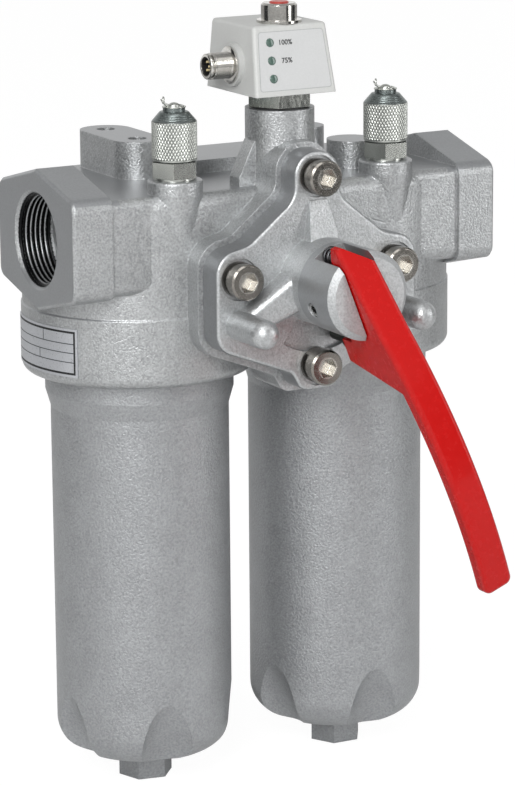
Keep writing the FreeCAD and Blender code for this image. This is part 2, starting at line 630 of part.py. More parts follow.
    # Port threads, channels to the valve and the valve's own bore.
    sketch = new_sketch(body, "YZ_Plane", "port_outline", lift="-" + PORT_FACE, across="port_axis_back")
    draw_circle(sketch, "0", "0", "port_major_dia")
    cut = extrude(body, "Pocket", "port_thread", sketch, "port_thread_depth", reverse=True)
    mirror(body, "port_threads", [cut])
    sketch = new_sketch(body, "YZ_Plane", "channel_outline", lift="-" + PORT_FACE, across="port_axis_back")
    draw_circle(sketch, "0", "0", "channel_dia")
    cut = extrude(body, "Pocket", "channel", sketch, PORT_FACE + " - spool_bore_dia / 4", reverse=True)
    mirror(body, "channels", [cut])
    sketch = new_sketch(body, "XZ_Plane", "spool_bore_outline", lift="-cover_seat", upward="spool_axis_up")
    draw_circle(sketch, "0", "0", "spool_bore_dia")
    extrude(body, "Pocket", "spool_bore", sketch, "spool_bore_end - cover_seat")
    sketch = new_sketch(body, "YZ_Plane", "transfer_outline", lift="bowl_spacing / 2")
    draw_circle(sketch, "transfer_back", "chamber_top - transfer_dia / 2 - transfer_drop", "transfer_dia")
    extrude(body, "Pocket", "transfer", sketch, "bowl_spacing")

    sketch = new_sketch(body, "XZ_Plane", "cover_groove_outline", lift="-cover_seat", upward="spool_axis_up")
    draw_circle(sketch, "0", "0", "cover_seal_dia + cover_groove")
    draw_circle(sketch, "0", "0", "cover_seal_dia - cover_groove")
    extrude(body, "Pocket", "cover_groove_ring", sketch, "cover_groove")

    # Tapped holes.
    for word, side, up in cover_screw_places():
        sketch = new_sketch(body, "XZ_Plane", "screw_tap_%s_outline" % word, lift="-cover_seat")
        draw_circle(sketch, side, up, "screw_dia + 2 * running_gap")
        extrude(body, "Pocket", "screw_tap_" + word, sketch, "screw_grip + 2")
    sketch = new_sketch(body, "XY_Plane", "test_tap_outline", lift="test_boss_top")
    draw_circle(sketch, "-test_half", "test_back", "test_tap_dia + 2 * running_gap")
    cut = extrude(body, "Pocket", "test_tap", sketch, "test_tap_long + 2")
    mirror(body, "test_taps", [cut])
    sketch = new_sketch(body, "XY_Plane", "indicator_tap_outline", lift="ind_boss_top")
    draw_circle(sketch, "0", "ind_back", "ind_tap_dia + 2 * running_gap")
    extrude(body, "Pocket", "indicator_tap", sketch, "ind_tap_long + 2")
    sketch = new_sketch(body, "XY_Plane", "pad_holes_outline", lift="pad_top")
    draw_circle(sketch, "pad_x", "pad_front", "pad_hole_dia")
    draw_circle(sketch, "pad_x", "pad_front + pad_pitch", "pad_hole_dia")
    extrude(body, "Pocket", "pad_holes", sketch, "pad_hole_deep")
    blend(body, "Chamfer", "port_mouths", "port_chamfer",
          lambda edge: isinstance(edge.Curve, Part.Circle)
          and near(abs(edge.BoundBox.Center.x), size(PORT_FACE)))
    place(body)


def cover_screw_places():
    """Name, sideways place and height of the four cover screws."""
    return (("top", "0", "screw_up"), ("low", "0", "screw_down"),
            ("left", "-screw_side", "screw_side_up"), ("right", "screw_side", "screw_side_up"))


def make_cover():
    """The valve cover with its boss, tapered web, two cast fingers, spot faces and bolt track."""
    body = new_body("valve_cover")
    sketch = new_sketch(body, "XZ_Plane", "cover_outline", lift="-cover_seat")
    draw_valve_outline(sketch, "0")
    extrude(body, "Pad", "cover_plate", sketch, "cover_seat - cover_face")
    blend(body, "Fillet", "cover_rim", "rim_round",
          lambda edge: near(edge.BoundBox.YMax, size("cover_face"))
          and near(edge.BoundBox.YMin, size("cover_face")))

    sketch = new_sketch(body, "XZ_Plane", "neck_boss_outline", lift="-cover_face", upward="spool_axis_up")
    draw_circle(sketch, "0", "0", "neck_boss_dia")
    extrude(body, "Pad", "neck_boss", sketch, "cover_face - neck_boss_face")
    low = new_sketch(body, "XY_Plane", "web_foot", lift="spool_axis_up")
    high = new_sketch(body, "XY_Plane", "web_head", lift="web_top")
    for sketch, width, front in ((low, "web_width_low", "web_face"),
                                 (high, "web_width_top", "cover_face - 0.6")):
        draw_outline(sketch, [
            ("-(%s) / 2" % width, front), ("(%s) / 2" % width, front),
            ("(%s) / 2" % width, "cover_face + 2"), ("-(%s) / 2" % width, "cover_face + 2")])
    web = body.newObject("PartDesign::AdditiveLoft", "web")
    web.Profile = low
    web.Sections = [high]
    web.Ruled = True
    sketch = new_sketch(body, "XZ_Plane", "finger_outline", lift="-cover_face")
    draw_circle(sketch, "-finger_x", "finger_up", "finger_dia")
    draw_circle(sketch, "finger_x", "finger_up", "finger_dia")
    extrude(body, "Pad", "fingers", sketch, "cover_face - finger_tip")
    blend(body, "Fillet", "finger_tips", "finger_dia / 2 - 0.3",
          lambda edge: near(edge.BoundBox.YMax, size("finger_tip")) and isinstance(edge.Curve, Part.Circle))
    arm_high = ("spool_axis_up + arm_rise", "arm_half_high", "arm_face_high")
    arm_low = ("finger_up", "arm_half_low", "arm_face_low")
    sections = []
    for word, lift, (middle, half, face) in (("high", "-arm_end", arm_high), ("low", "-finger_x", arm_low)):
        sketch = new_sketch(body, "YZ_Plane", "arm_%s_section" % word, lift=lift, upward=middle)
        draw_outline(sketch, [
            ("cover_face + 2", "-" + half), (face + " + arm_round", "-" + half, "arm_round"),
            (face, "-%s + arm_round" % half), (face, half + " - arm_round", "arm_round"),
            (face + " + arm_round", half), ("cover_face + 2", half)])
        sections.append(sketch)
    arm = body.newObject("PartDesign::AdditiveLoft", "arm")
    arm.Profile = sections[0]
    arm.Sections = sections[1:]
    arm.Ruled = True
    mirror(body, "arms", [arm])

    for word, side, up in cover_screw_places():
        for part_word, diameter, lift, depth in (
                ("spot", "spot_dia", "neck_boss_face", "cover_face - neck_boss_face + spot_depth"),
                ("hole", "screw_dia + 0.6", "cover_face", "cover_seat - cover_face")):
            sketch = new_sketch(body, "XZ_Plane", "%s_%s_outline" % (part_word, word), lift="-(%s)" % lift)
            draw_circle(sketch, side, up, diameter)
            extrude(body, "Pocket", "%s_%s" % (part_word, word), sketch, depth)
    sketch = new_sketch(body, "XZ_Plane", "stem_hole_outline", lift="-neck_boss_face", upward="spool_axis_up")
    draw_circle(sketch, "0", "0", "stem_dia + 2 * running_gap")
    extrude(body, "Pocket", "stem_hole", sketch, "cover_seat - neck_boss_face")

    # Curved track for the lock bolt, half to either side of straight down.
    sketch = new_sketch(body, "YZ_Plane", "bolt_track_section", upward="spool_axis_up")
    draw_outline(sketch, [
        ("cover_face - 1", "-track_inner"), ("cover_face - 1", "-track_outer"),
        ("cover_face + track_depth", "-track_outer"), ("cover_face + track_depth", "-track_inner")])
    track = spin(body, "Groove", "bolt_track", sketch, "H_Axis")
    track.Midplane = True
    track.setExpression("Angle", bound("2 * (lever_turn + track_turn_margin)"))
    place(body)


def turned_body(name, profile, plane="XZ_Plane", axis="V_Axis"):
    """A body made by one full turn of a profile about its own axis."""
    body = new_body(name)
    sketch = new_sketch(body, plane, name + "_profile")
    draw_outline(sketch, profile)
    spin(body, "Revolution", name + "_turned", sketch, axis)
    return body


def add_hexagon(body, name, flats, low, height):
    """A hexagonal prism about the body's Z axis."""
    sketch = new_sketch(body, "XY_Plane", name + "_outline", lift=low)
    draw_hexagon(sketch, flats)
    extrude(body, "Pad", name, sketch, height)


def turned_ring(name, at, radius, section):
    """A round seal ring about the body's Y axis."""
    body = new_body(name)
    sketch = new_sketch(body, "YZ_Plane", name + "_section")
    draw_circle(sketch, at, radius, section)
    spin(body, "Revolution", name + "_turned", sketch, "H_Axis")
    return body


def make_solid(name, shape):
    """A sub-part whose shape is set directly, where neither features nor primitives fit."""
    part = doc.addObject("Part::Feature", name)
    part.Label = name
    part.Shape = shape
    return part


def torus(name, ring, section):
    """A round seal ring about Z, by its middle diameter and its section."""
    part = doc.addObject("Part::Torus", name)
    part.Label = name
    part.setExpression("Radius1", bound("(%s) / 2" % ring))
    part.setExpression("Radius2", bound("(%s) / 2" % section))
    return part


def make_cover_screws():
    """Four socket head screws in one node, copies of one screw drawn along -Y."""
    screw = turned_body("cover_screw_pattern", [
        ("0", "0"), ("screw_dia / 2", "0"), ("screw_dia / 2", "screw_long"),
        ("screw_head_dia / 2", "screw_long"),
        ("screw_head_dia / 2", "screw_long + screw_head_high - head_edge"),
        ("screw_head_dia / 2 - head_edge", "screw_long + screw_head_high"),
        ("0", "screw_long + screw_head_high")])
    sketch = new_sketch(screw, "XY_Plane", "socket_outline", lift="screw_long + screw_head_high")
    draw_hexagon(sketch, "screw_hex")
    extrude(screw, "Pocket", "socket", sketch, "screw_head_high / 2")
    doc.recompute()
    along_front = FreeCAD.Rotation(FreeCAD.Vector(1, 0, 0), 90)
    foot = size("cover_face + spot_depth + screw_long")
    copies = []
    for word, side, up in cover_screw_places():
        copy = screw.Shape.copy()
        copy.Placement = FreeCAD.Placement(FreeCAD.Vector(size(side), foot, size(up)), along_front)
        copies.append(copy)
    place(make_solid("cover_screws", Part.makeCompound(copies)))


def make_changeover():
    """The spool in the head, its seal, and the slotted hub that turns it."""
    spool = turned_body("changeover_spool", [
        ("spool_bore_end - 1", "0"), ("spool_bore_end - 1", "spool_bore_dia / 2 - running_gap"),
        ("cover_seat + face_gap", "spool_bore_dia / 2 - running_gap"), ("cover_seat + face_gap", "0")],
        "YZ_Plane", "H_Axis")
    sketch = new_sketch(spool, "YZ_Plane", "waterway_outline", lift="spool_bore_dia / 2")
    draw_outline(sketch, [
        ("waterway_front", "-waterway_open / 2"), ("waterway_front", "waterway_open"),
        ("waterway_back", "waterway_open"), ("waterway_back", "-waterway_open / 2")])
    extrude(spool, "Pocket", "waterway", sketch, "spool_bore_dia / 2 - waterway_web")
    sketch = new_sketch(spool, "XZ_Plane", "spool_socket_outline", lift="-(cover_seat + face_gap)")
    draw_circle(sketch, "0", "0", "stem_dia + 2 * running_gap")
    extrude(spool, "Pocket", "spool_socket", sketch, "stem_sunk + face_gap")
    place(spool, up="spool_axis_up", turn="lever_turn")

    hub = turned_body("lever_hub", [
        ("cover_seat + stem_sunk", "0"), ("cover_seat + stem_sunk", "stem_dia / 2"),
        ("stem_seal_at + stem_ring / 2 + 0.2", "stem_dia / 2"),
        ("stem_seal_at + stem_ring / 2 + 0.2", "stem_dia / 2 - stem_ring"),
        ("stem_seal_at - stem_ring / 2 - 0.2", "stem_dia / 2 - stem_ring"),
        ("stem_seal_at - stem_ring / 2 - 0.2", "stem_dia / 2"),
        ("neck_boss_face - face_gap", "stem_dia / 2"), ("neck_boss_face - face_gap", "hub_dia / 2"),
        ("hub_face + hub_chamfer", "hub_dia / 2"), ("hub_face", "hub_dia / 2 - hub_chamfer"),
        ("hub_face", "0")],
        "YZ_Plane", "H_Axis")
    sketch = new_sketch(hub, "XZ_Plane", "slot_outline", lift="-hub_face")
    draw_outline(sketch, [
        ("-slot_width / 2", "-hub_dia"), ("slot_width / 2", "-hub_dia"),
        ("slot_width / 2", "hub_dia"), ("-slot_width / 2", "hub_dia")])
    extrude(hub, "Pocket", "slot", sketch, "slot_floor - hub_face")
    sketch = new_sketch(hub, "YZ_Plane", "pin_hole_outline", lift="hub_dia")
    draw_circle(sketch, "pin_back", "0", "pin_dia")
    extrude(hub, "Pocket", "pin_hole", sketch, "2 * hub_dia")
    sketch = new_sketch(hub, "XZ_Plane", "spring_seat_outline", lift="-slot_floor")
    draw_circle(sketch, "0", "spring_up", "spring_dia + 0.6")
    extrude(hub, "Pocket", "spring_seat", sketch, "spring_sunk")
    place(hub, up="spool_axis_up", turn="lever_turn")

    outer = "(pin_dia / 2 - running_gap / 2)"
    pin = turned_body("lever_pin", [
        ("-pin_long / 2", outer + " - pin_wall"), ("-pin_long / 2", outer + " - pin_edge"),
        ("-pin_long / 2 + pin_edge", outer), ("pin_long / 2 - pin_edge", outer),
        ("pin_long / 2", outer + " - pin_edge"), ("pin_long / 2", outer + " - pin_wall")],
        "XZ_Plane", "H_Axis")
    place(pin, back="pin_back", up="spool_axis_up", turn="lever_turn")

    ring = turned_ring("stem_seal", "stem_seal_at", "stem_dia / 2 - stem_ring / 2", "stem_ring")
    place(ring, up="spool_axis_up")
    ring = turned_ring(
        "cover_seal", "cover_seat + cover_groove / 2", "cover_seal_dia / 2", "cover_groove - 0.4")
    place(ring, up="spool_axis_up")


def make_lever():
    """The red lever: blade with an arched front, jaw under the hub, knuckle on the pin."""
    body = new_body("changeover_lever")
    sketch = new_sketch(body, "YZ_Plane", "lever_side", lift="-lever_width / 2")
    draw_outline(sketch, [
        ("lever_top_face", "lever_top"), ("lever_knee_face", "lever_knee", "-lever_sweep"),
        ("lever_end_face", "lever_end"),
        ("lever_end_face + lever_depth", "lever_end", "lever_sweep - lever_depth"),
        ("blade_root_face", "blade_root"), ("jaw_tip", "jaw_down"), ("jaw_tip", "jaw_up"),
        ("slot_floor - 6", "jaw_up"), ("slot_floor - 1", "-knuckle_dia / 2"),
        ("slot_floor - 1", "knuckle_dia / 2"),
        ("spring_face", "spring_up - spring_dia / 2"), ("spring_face", "spring_up + spring_dia / 2"),
        ("lever_top_face + lever_top_thick", "lever_top")])
    extrude(body, "Pad", "lever_plate", sketch, "lever_width")
    sketch = new_sketch(body, "XZ_Plane", "top_cut_outline", lift="-lever_knee_face")
    draw_outline(sketch, [
        ("lever_width / 2", "lever_top - top_cut"), ("lever_width / 2", "lever_top"),
        ("lever_width / 2 - top_cut", "lever_top")])
    extrude(body, "Pocket", "top_slant", sketch, "slot_floor - lever_knee_face")
    blend(body, "Fillet", "lever_end_corners", "lever_end_round",
          lambda edge: along(edge, "y") and near(edge.BoundBox.ZMin, size("lever_end")))
    blend(body, "Fillet", "lever_edges", "lever_round",
          lambda edge: edge.BoundBox.YMin < size("lever_knee_face - 1")
          and edge.BoundBox.YMax < size("lever_knee_face + 2")
          and edge.BoundBox.ZMax < size("lever_knee + 1")
          and edge.BoundBox.ZLength > size("blade_root - lever_end") / 2)
    sketch = new_sketch(body, "YZ_Plane", "lever_pin_hole_outline", lift="lever_width")
    draw_circle(sketch, "pin_back", "0", "pin_dia + 2 * running_gap")
    extrude(body, "Pocket", "lever_pin_hole", sketch, "2 * lever_width")
    sketch = new_sketch(body, "XZ_Plane", "bolt_hole_outline", lift="-(jaw_tip - bolt_sunk)")
    draw_circle(sketch, "0", "bolt_down", "bolt_dia")
    extrude(body, "Pocket", "bolt_hole", sketch, "2 * bolt_sunk")
    place(body, up="spool_axis_up", turn="lever_turn")

    bolt = turned_body("lock_bolt", [
        ("jaw_tip - bolt_sunk", "0"), ("jaw_tip - bolt_sunk", "bolt_dia / 2"), ("jaw_tip", "bolt_dia / 2"),
        ("jaw_tip", "bolt_collar_dia / 2"), ("jaw_tip + bolt_collar_long", "bolt_collar_dia / 2"),
        ("jaw_tip + bolt_collar_long", "bolt_dia / 2"), ("cover_face + bolt_reach - 1", "bolt_dia / 2"),
        ("cover_face + bolt_reach", "bolt_dia / 2 - 1"), ("cover_face + bolt_reach", "0")],
        "YZ_Plane", "H_Axis")
    place(bolt, up="spool_axis_up + bolt_down * cos(lever_turn)", across="-bolt_down * sin(lever_turn)",
          turn="lever_turn")


def make_spring():
    """The coil spring between the floor of the hub's slot and the lever."""
    pitch = size("(slot_floor + spring_sunk - spring_face - spring_wire) / spring_turns")
    radius = size("(spring_dia - spring_wire) / 2")
    path = Part.makeHelix(pitch, pitch * size("spring_turns"), radius)
    section = Part.Wire(Part.makeCircle(
        size("spring_wire / 2"), FreeCAD.Vector(radius, 0, 0), FreeCAD.Vector(0, 1, 0)))
    coil = Part.Wire(path.Edges).makePipeShell([section], True, True)
    coil.rotate(FreeCAD.Vector(), FreeCAD.Vector(1, 0, 0), 90)
    coil.translate(FreeCAD.Vector(0, size("slot_floor + spring_sunk - spring_wire / 2"), size("spring_up")))
    place(make_solid("lever_spring", Part.makeCompound([coil])), up="spool_axis_up", turn="lever_turn")


def make_test_point(side, sign):
    """One test point: body, seal, knurled cap and the wire ring on the cap."""
    across = "%stest_half" % sign
    body = turned_body("test_point_body_" + side, [
        ("0", "-test_tap_long"), ("test_tap_dia / 2", "-test_tap_long"),
        ("test_tap_dia / 2", "test_seal_high"),
        ("test_hex / 2", "test_seal_high"), ("test_hex / 2", "test_seal_high + test_hex_high"),
        ("test_thread_dia / 2", "test_seal_high + test_hex_high"),
        ("test_thread_dia / 2", "test_seal_high + test_hex_high + cap_knurl_high - 3"),
        ("0", "test_seal_high + test_hex_high + cap_knurl_high - 3")])
    add_hexagon(body, "test_hexagon_" + side, "test_hex", "test_seal_high", "test_hex_high")
    place(body, back="test_back", up="test_boss_top", across=across)

    seal = turned_body("test_point_seal_" + side, [
        ("test_tap_dia / 2 + running_gap", "0"), ("test_hex / 2 - 0.4", "0"),
        ("test_hex / 2 - 0.4", "test_seal_high"), ("test_tap_dia / 2 + running_gap", "test_seal_high")])
    place(seal, back="test_back", up="test_boss_top", across=across)

    foot = "test_seal_high + test_hex_high + cap_lift"
    top = foot + " + cap_knurl_high"
    cap = turned_body("test_point_cap_" + side, [
        ("test_thread_dia / 2 + running_gap", foot), ("cap_dia / 2 - 0.5", foot),
        ("cap_dia / 2", foot + " + 0.5"),
        ("cap_dia / 2", top), ("cap_cone_dia / 2", top + " + cap_cone_high"), ("0", top + " + cap_cone_high"),
        ("0", top + " - 2"), ("test_thread_dia / 2 + running_gap", top + " - 2")])
    place(cap, back="test_back", up="test_boss_top", across=across)

    ring = torus("cap_ring_" + side, "chain_ring_dia", "chain_wire")
    lying = "test_boss_top + %s + cap_cone_high + chain_wire / 2" % top
    place(ring, back="test_back", up=lying, across=across)


def box_front(height):
    """Front of the sloping indicator housing at a height above its foot."""
    return "box_front_low + (box_front_top - box_front_low) * (%s) / box_high" % height


def make_indicator():
    """The clogging indicator: adapter, housing, lights, connector, cap and red button."""
    adapter = turned_body("indicator_adapter", [
        ("0", "-ind_tap_long"), ("ind_tap_dia / 2", "-ind_tap_long"), ("ind_tap_dia / 2", "ind_seal_high"),
        ("ind_hex / 2", "ind_seal_high"), ("ind_hex / 2", "ind_seal_high + ind_hex_high"),
        ("0", "ind_seal_high + ind_hex_high")])
    add_hexagon(adapter, "adapter_hexagon", "ind_hex", "ind_seal_high", "ind_hex_high")
    place(adapter, back="ind_back", up="ind_boss_top")
    seal = turned_body("indicator_seal", [
        ("ind_tap_dia / 2 + running_gap", "0"), ("ind_hex / 2 - 0.4", "0"),
        ("ind_hex / 2 - 0.4", "ind_seal_high"), ("ind_tap_dia / 2 + running_gap", "ind_seal_high")])
    place(seal, back="ind_back", up="ind_boss_top")

    foot = "ind_boss_top + ind_seal_high + ind_hex_high"
    body = new_body("indicator_housing")
    box = body.newObject("PartDesign::AdditiveWedge", "box")
    for name, expression in (
            ("Xmin", "-box_half_low"), ("Xmax", "box_half_low"),
            ("X2min", "-box_half_top"), ("X2max", "box_half_top"),
            ("Ymin", "0"), ("Ymax", "box_high"), ("Zmin", "-box_back_low"), ("Zmax", "-box_front_low"),
            ("Z2min", "-box_back_top"), ("Z2max", "-box_front_top")):
        box.setExpression(name, bound(expression))
    box.Placement = FreeCAD.Placement(FreeCAD.Vector(), FreeCAD.Rotation(FreeCAD.Vector(1, 0, 0), 90))
    blend(body, "Fillet", "box_corners", "box_round", lambda edge: edge.BoundBox.ZMax > 1)
    sketch = new_sketch(body, "YZ_Plane", "plug_collar_outline", lift="-(box_half_low + plug_collar_high)")
    draw_circle(sketch, "plug_back", "plug_up", "plug_collar_dia")
    extrude(body, "Pad", "plug_collar", sketch, "plug_collar_high + 4")
    sketch = new_sketch(body, "YZ_Plane", "plug_hole_outline", lift="-(box_half_low + plug_collar_high)")
    draw_circle(sketch, "plug_back", "plug_up", "plug_dia + 2 * running_gap")
    extrude(body, "Pocket", "plug_hole", sketch, "plug_sunk + plug_collar_high", reverse=True)
    sketch = new_sketch(body, "XY_Plane", "button_well_outline", lift="box_high")
    draw_circle(sketch, "0", "ind_back", "button_dia + 2 * running_gap + 1")
    extrude(body, "Pocket", "button_well", sketch, "button_long")
    for number in range(3):
        height = "led_low + %d * led_pitch" % number
        sketch = new_sketch(body, "XZ_Plane", "light_%d_outline" % number, lift="-(box_front_low - 1)")
        draw_circle(sketch, "led_left", height, "led_dia + 2 * running_gap")
        depth = "%s - box_front_low + 2" % box_front(height)
        extrude(body, "Pocket", "light_well_%d" % number, sketch, depth)
    place(body, up=foot)

    lights = []
    for number in range(3):
        height = "led_low + %d * led_pitch" % number
        lights.append(Part.makeCylinder(
            size("led_dia / 2"), size("1 + led_proud"),
            FreeCAD.Vector(size("led_left"), size(box_front(height) + " + 1"), size(height)),
            FreeCAD.Vector(0, -1, 0)))
    place(make_solid("indicator_lights", Part.makeCompound(lights)), up=foot)

    mouth = "-(box_half_low + plug_long)"
    shell = turned_body("indicator_plug", [
        (mouth, "plug_bore / 2"), (mouth, "plug_dia / 2 - 0.5"), (mouth + " + 0.5", "plug_dia / 2"),
        ("-(box_half_low - plug_sunk)", "plug_dia / 2"), ("-(box_half_low - plug_sunk)", "0"),
        (mouth + " + plug_bore_deep", "0"), (mouth + " + plug_bore_deep", "plug_bore / 2")],
        "XZ_Plane", "H_Axis")
    place(shell, back="plug_back", up=foot + " + plug_up")
    insert = new_body("indicator_plug_pins")
    well = mouth + " + plug_bore_deep"
    sketch = new_sketch(insert, "YZ_Plane", "insert_outline", lift=well)
    draw_circle(sketch, "0", "0", "plug_bore - 2 * running_gap")
    extrude(insert, "Pad", "insert_disc", sketch, "plug_insert_thick").Reversed = True
    sketch = new_sketch(insert, "YZ_Plane", "pins_outline", lift=well)
    for side, up in (("1", "1"), ("1", "-1"), ("-1", "1"), ("-1", "-1")):
        draw_circle(sketch, "%s * plug_pin_ring / 2" % side, "%s * plug_pin_ring / 2" % up, "plug_pin_dia")
    draw_circle(sketch, "0", "0", "plug_pin_dia")
    extrude(insert, "Pad", "pins", sketch, "plug_bore_deep - 1.5").Reversed = True
    place(insert, back="plug_back", up=foot + " + plug_up")

    cap = turned_body("indicator_top_cap", [
        ("button_dia / 2 + running_gap", "0"), ("top_flange_dia / 2", "0"),
        ("top_flange_dia / 2", "top_flange_high"),
        ("top_cap_dia / 2", "top_flange_high"), ("top_cap_dia / 2", "top_cap_high - 0.8"),
        ("top_cap_dia / 2 - 0.8", "top_cap_high"), ("button_dia / 2 + running_gap", "top_cap_high")])
    place(cap, back="ind_back", up=foot + " + box_high")
    button = turned_body("indicator_button", [
        ("0", "top_cap_high - button_long - button_down"),
        ("button_dia / 2", "top_cap_high - button_long - button_down"),
        ("button_dia / 2", "top_cap_high + button_proud - 0.4"),
        ("button_dia / 2 - 0.4", "top_cap_high + button_proud"), ("0", "top_cap_high + button_proud")])
    place(button, back="ind_back", up=foot + " + box_high")


def make_bowl(side, sign):
    """One cast bowl: threaded neck, collar, plain wall, fluted foot and hexagon."""
    across = "%sbowl_spacing / 2" % sign
    mouth = "skirt_bottom - collar_gap"
    groove = "skirt_bottom + bowl_groove_up"
    bed = BOWL_NECK + " - seal_ring + 0.2"
    body = turned_body("filter_bowl_" + side, [
        (BOWL + " - bowl_wall", "bowl_neck_top"), (BOWL_NECK, "bowl_neck_top"),
        (BOWL_NECK, groove + " + seal_ring"), (bed, groove + " + seal_ring"),
        (bed, groove + " - seal_ring / 4"), (BOWL_NECK, groove + " - seal_ring / 4"),
        (BOWL_NECK, mouth), (COLLAR, mouth),
        (COLLAR, mouth + " - collar_high"), (BOWL, mouth + " - collar_high - collar_taper"),
        (BOWL, "bowl_floor + foot_round", "foot_round"), (BOWL + " - foot_round", "bowl_floor"),
        ("0", "bowl_floor"), ("0", "bowl_floor + bowl_floor_thick"),
        ("bowl_well_dia / 2", "bowl_floor + bowl_floor_thick"), (BOWL + " - bowl_wall", "bowl_dome_start")])
    low = new_sketch(body, "XY_Plane", "flute_low_" + side, lift="bowl_floor - 1")
    high = new_sketch(body, "XY_Plane", "flute_high_" + side, lift="flute_top")
    for sketch, ring in ((low, BOWL + " - flute_bite"), (high, BOWL + " + flute_dia / 2 + 0.3")):
        draw_circle(sketch, "0", "-(%s)" % ring, "flute_dia")
    flute = body.newObject("PartDesign::SubtractiveLoft", "flute_" + side)
    flute.Profile = low
    flute.Sections = [high]
    flute.Ruled = True
    flutes = body.newObject("PartDesign::PolarPattern", "flutes_" + side)
    flutes.Originals = [flute]
    flutes.Axis = (plane_of(body, "Z_Axis"), [""])
    flutes.Angle = 360
    flutes.setExpression("Occurrences", bound("flute_count"))
    body.Tip = flutes
    add_hexagon(body, "bowl_hexagon_" + side, "bowl_hex", "bowl_hex_end", "bowl_floor - bowl_hex_end + 1")
    body.Placement = FreeCAD.Placement(FreeCAD.Vector(), FreeCAD.Rotation(FreeCAD.Vector(0, 0, 1), 1))
    body.setExpression("Placement.Rotation.Angle", bound("flute_turn_" + side))
    place(body, across=across)
    seal = torus("bowl_seal_" + side, "2 * %s - seal_ring - 0.1" % BOWL_BORE, "seal_ring")
    place(seal, up=groove + " + seal_ring / 2 - seal_ring / 8", across=across)


def make_element(side, sign):
    """One filter element: pleated medium, two end caps, support tube and seal ring."""
    across = "%sbowl_spacing / 2" % sign
    count = int(size("element_pleats"))
    points = []
    for number in range(2 * count):
        radius = size("element_dia / 2") if number % 2 == 0 else size("element_root_dia / 2")
        turn = math.pi * number / count
        points.append(FreeCAD.Vector(radius * math.cos(turn), radius * math.sin(turn), 0))
    star = Part.Face(Part.makePolygon(points + points[:1]))
    hole = Part.Face(Part.Wire(Part.makeCircle(size("core_tube_dia / 2 + 0.1"))))
    height = size("element_top - element_bottom - 2 * element_cap_high")
    medium = star.cut(hole).extrude(FreeCAD.Vector(0, 0, height))
    place(make_solid("element_medium_" + side, medium), up="element_bottom + element_cap_high", across=across)

    tube = turned_body("element_core_" + side, [
        ("core_tube_dia / 2 - core_tube_wall", "element_bottom + element_cap_high"),
        ("core_tube_dia / 2", "element_bottom + element_cap_high"),
        ("core_tube_dia / 2", "element_top - element_cap_high"),
        ("core_tube_dia / 2 - core_tube_wall", "element_top - element_cap_high")])
    place(tube, across=across)
    cap = turned_body("element_cap_top_" + side, [
        ("spigot_dia / 2 + element_ring", "element_top - element_cap_high"),
        (END_CAP, "element_top - element_cap_high"), (END_CAP, "element_top"),
        ("spigot_dia / 2 + running_gap", "element_top"), ("spigot_dia / 2 + running_gap", "element_top - 1"),
        ("spigot_dia / 2 + element_ring", "element_top - 1")])
    place(cap, across=across)
    seal = torus("element_seal_" + side, "spigot_dia + element_ring", "element_ring - 0.1")
    place(seal, up="element_top - 1 - element_ring / 2", across=across)
    cap = turned_body("element_cap_low_" + side, [
        ("0", "element_bottom"), (END_CAP, "element_bottom"),
        (END_CAP, "element_bottom + element_cap_high"), ("0", "element_bottom + element_cap_high")])
    foot = new_sketch(cap, "XY_Plane", "element_foot_" + side, lift="bowl_floor + bowl_floor_thick")
    draw_circle(foot, "0", "0", "element_foot_dia")
    extrude(cap, "Pad", "element_stand_" + side, foot, "element_bottom - bowl_floor - bowl_floor_thick + 1")
    place(cap, across=across)


def make_nameplate():
    """The blank plate wrapped round the left skirt."""
    radius = size(HOUSING + " + skirt_step")
    sweep = size("plate_turn_end - plate_turn_start")
    rings = []
    for reach in (radius + size("plate_thick"), radius):
        disc = Part.makeCylinder(
            reach, size("plate_top - plate_bottom"), FreeCAD.Vector(), FreeCAD.Vector(0, 0, 1), sweep)
        rings.append(disc)
    plate = rings[0].cut(rings[1])
    plate.rotate(FreeCAD.Vector(), FreeCAD.Vector(0, 0, 1), size("plate_turn_start"))
    place(make_solid("nameplate", Part.makeCompound([plate])), up="plate_bottom", across="-bowl_spacing / 2")


make_head()
make_cover()
make_cover_screws()
make_changeover()
make_lever()
make_spring()
make_indicator()
make_nameplate()
for side, sign in (("left", "-"), ("right", "")):
    make_test_point(side, sign)
    make_bowl(side, sign)
    make_element(side, sign)
doc.recompute()

for item in doc.Objects:
    if "Invalid" in item.State or "Error" in item.State:
        raise RuntimeError("%s did not build: %s" % (item.Name, item.getStatusString()))
for part in NODES:
    if part.Shape.isNull() or not part.Shape.isValid():
        raise RuntimeError("the shape of %s is not valid" % part.Label)

os.makedirs("parts", exist_ok=True)
for part in NODES:
    part.Shape.exportStep("parts/%s.step" % part.Label)
print(len(NODES), "sub-parts written")
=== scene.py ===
"""Looks of a changeover hydraulic filter: two screwed bowls under a cast head, a changeover
valve with a red lever in front, a clogging indicator on top and two capped test points.

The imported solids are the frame. Pieces too fine for them, such as threads, knurls and the
lines on the nameplate, are surfaces worked out with number arrays. Lengths in the functions
are millimetres in the frame's own axes, and a mesh is turned to metres when it is made.
"""

import math

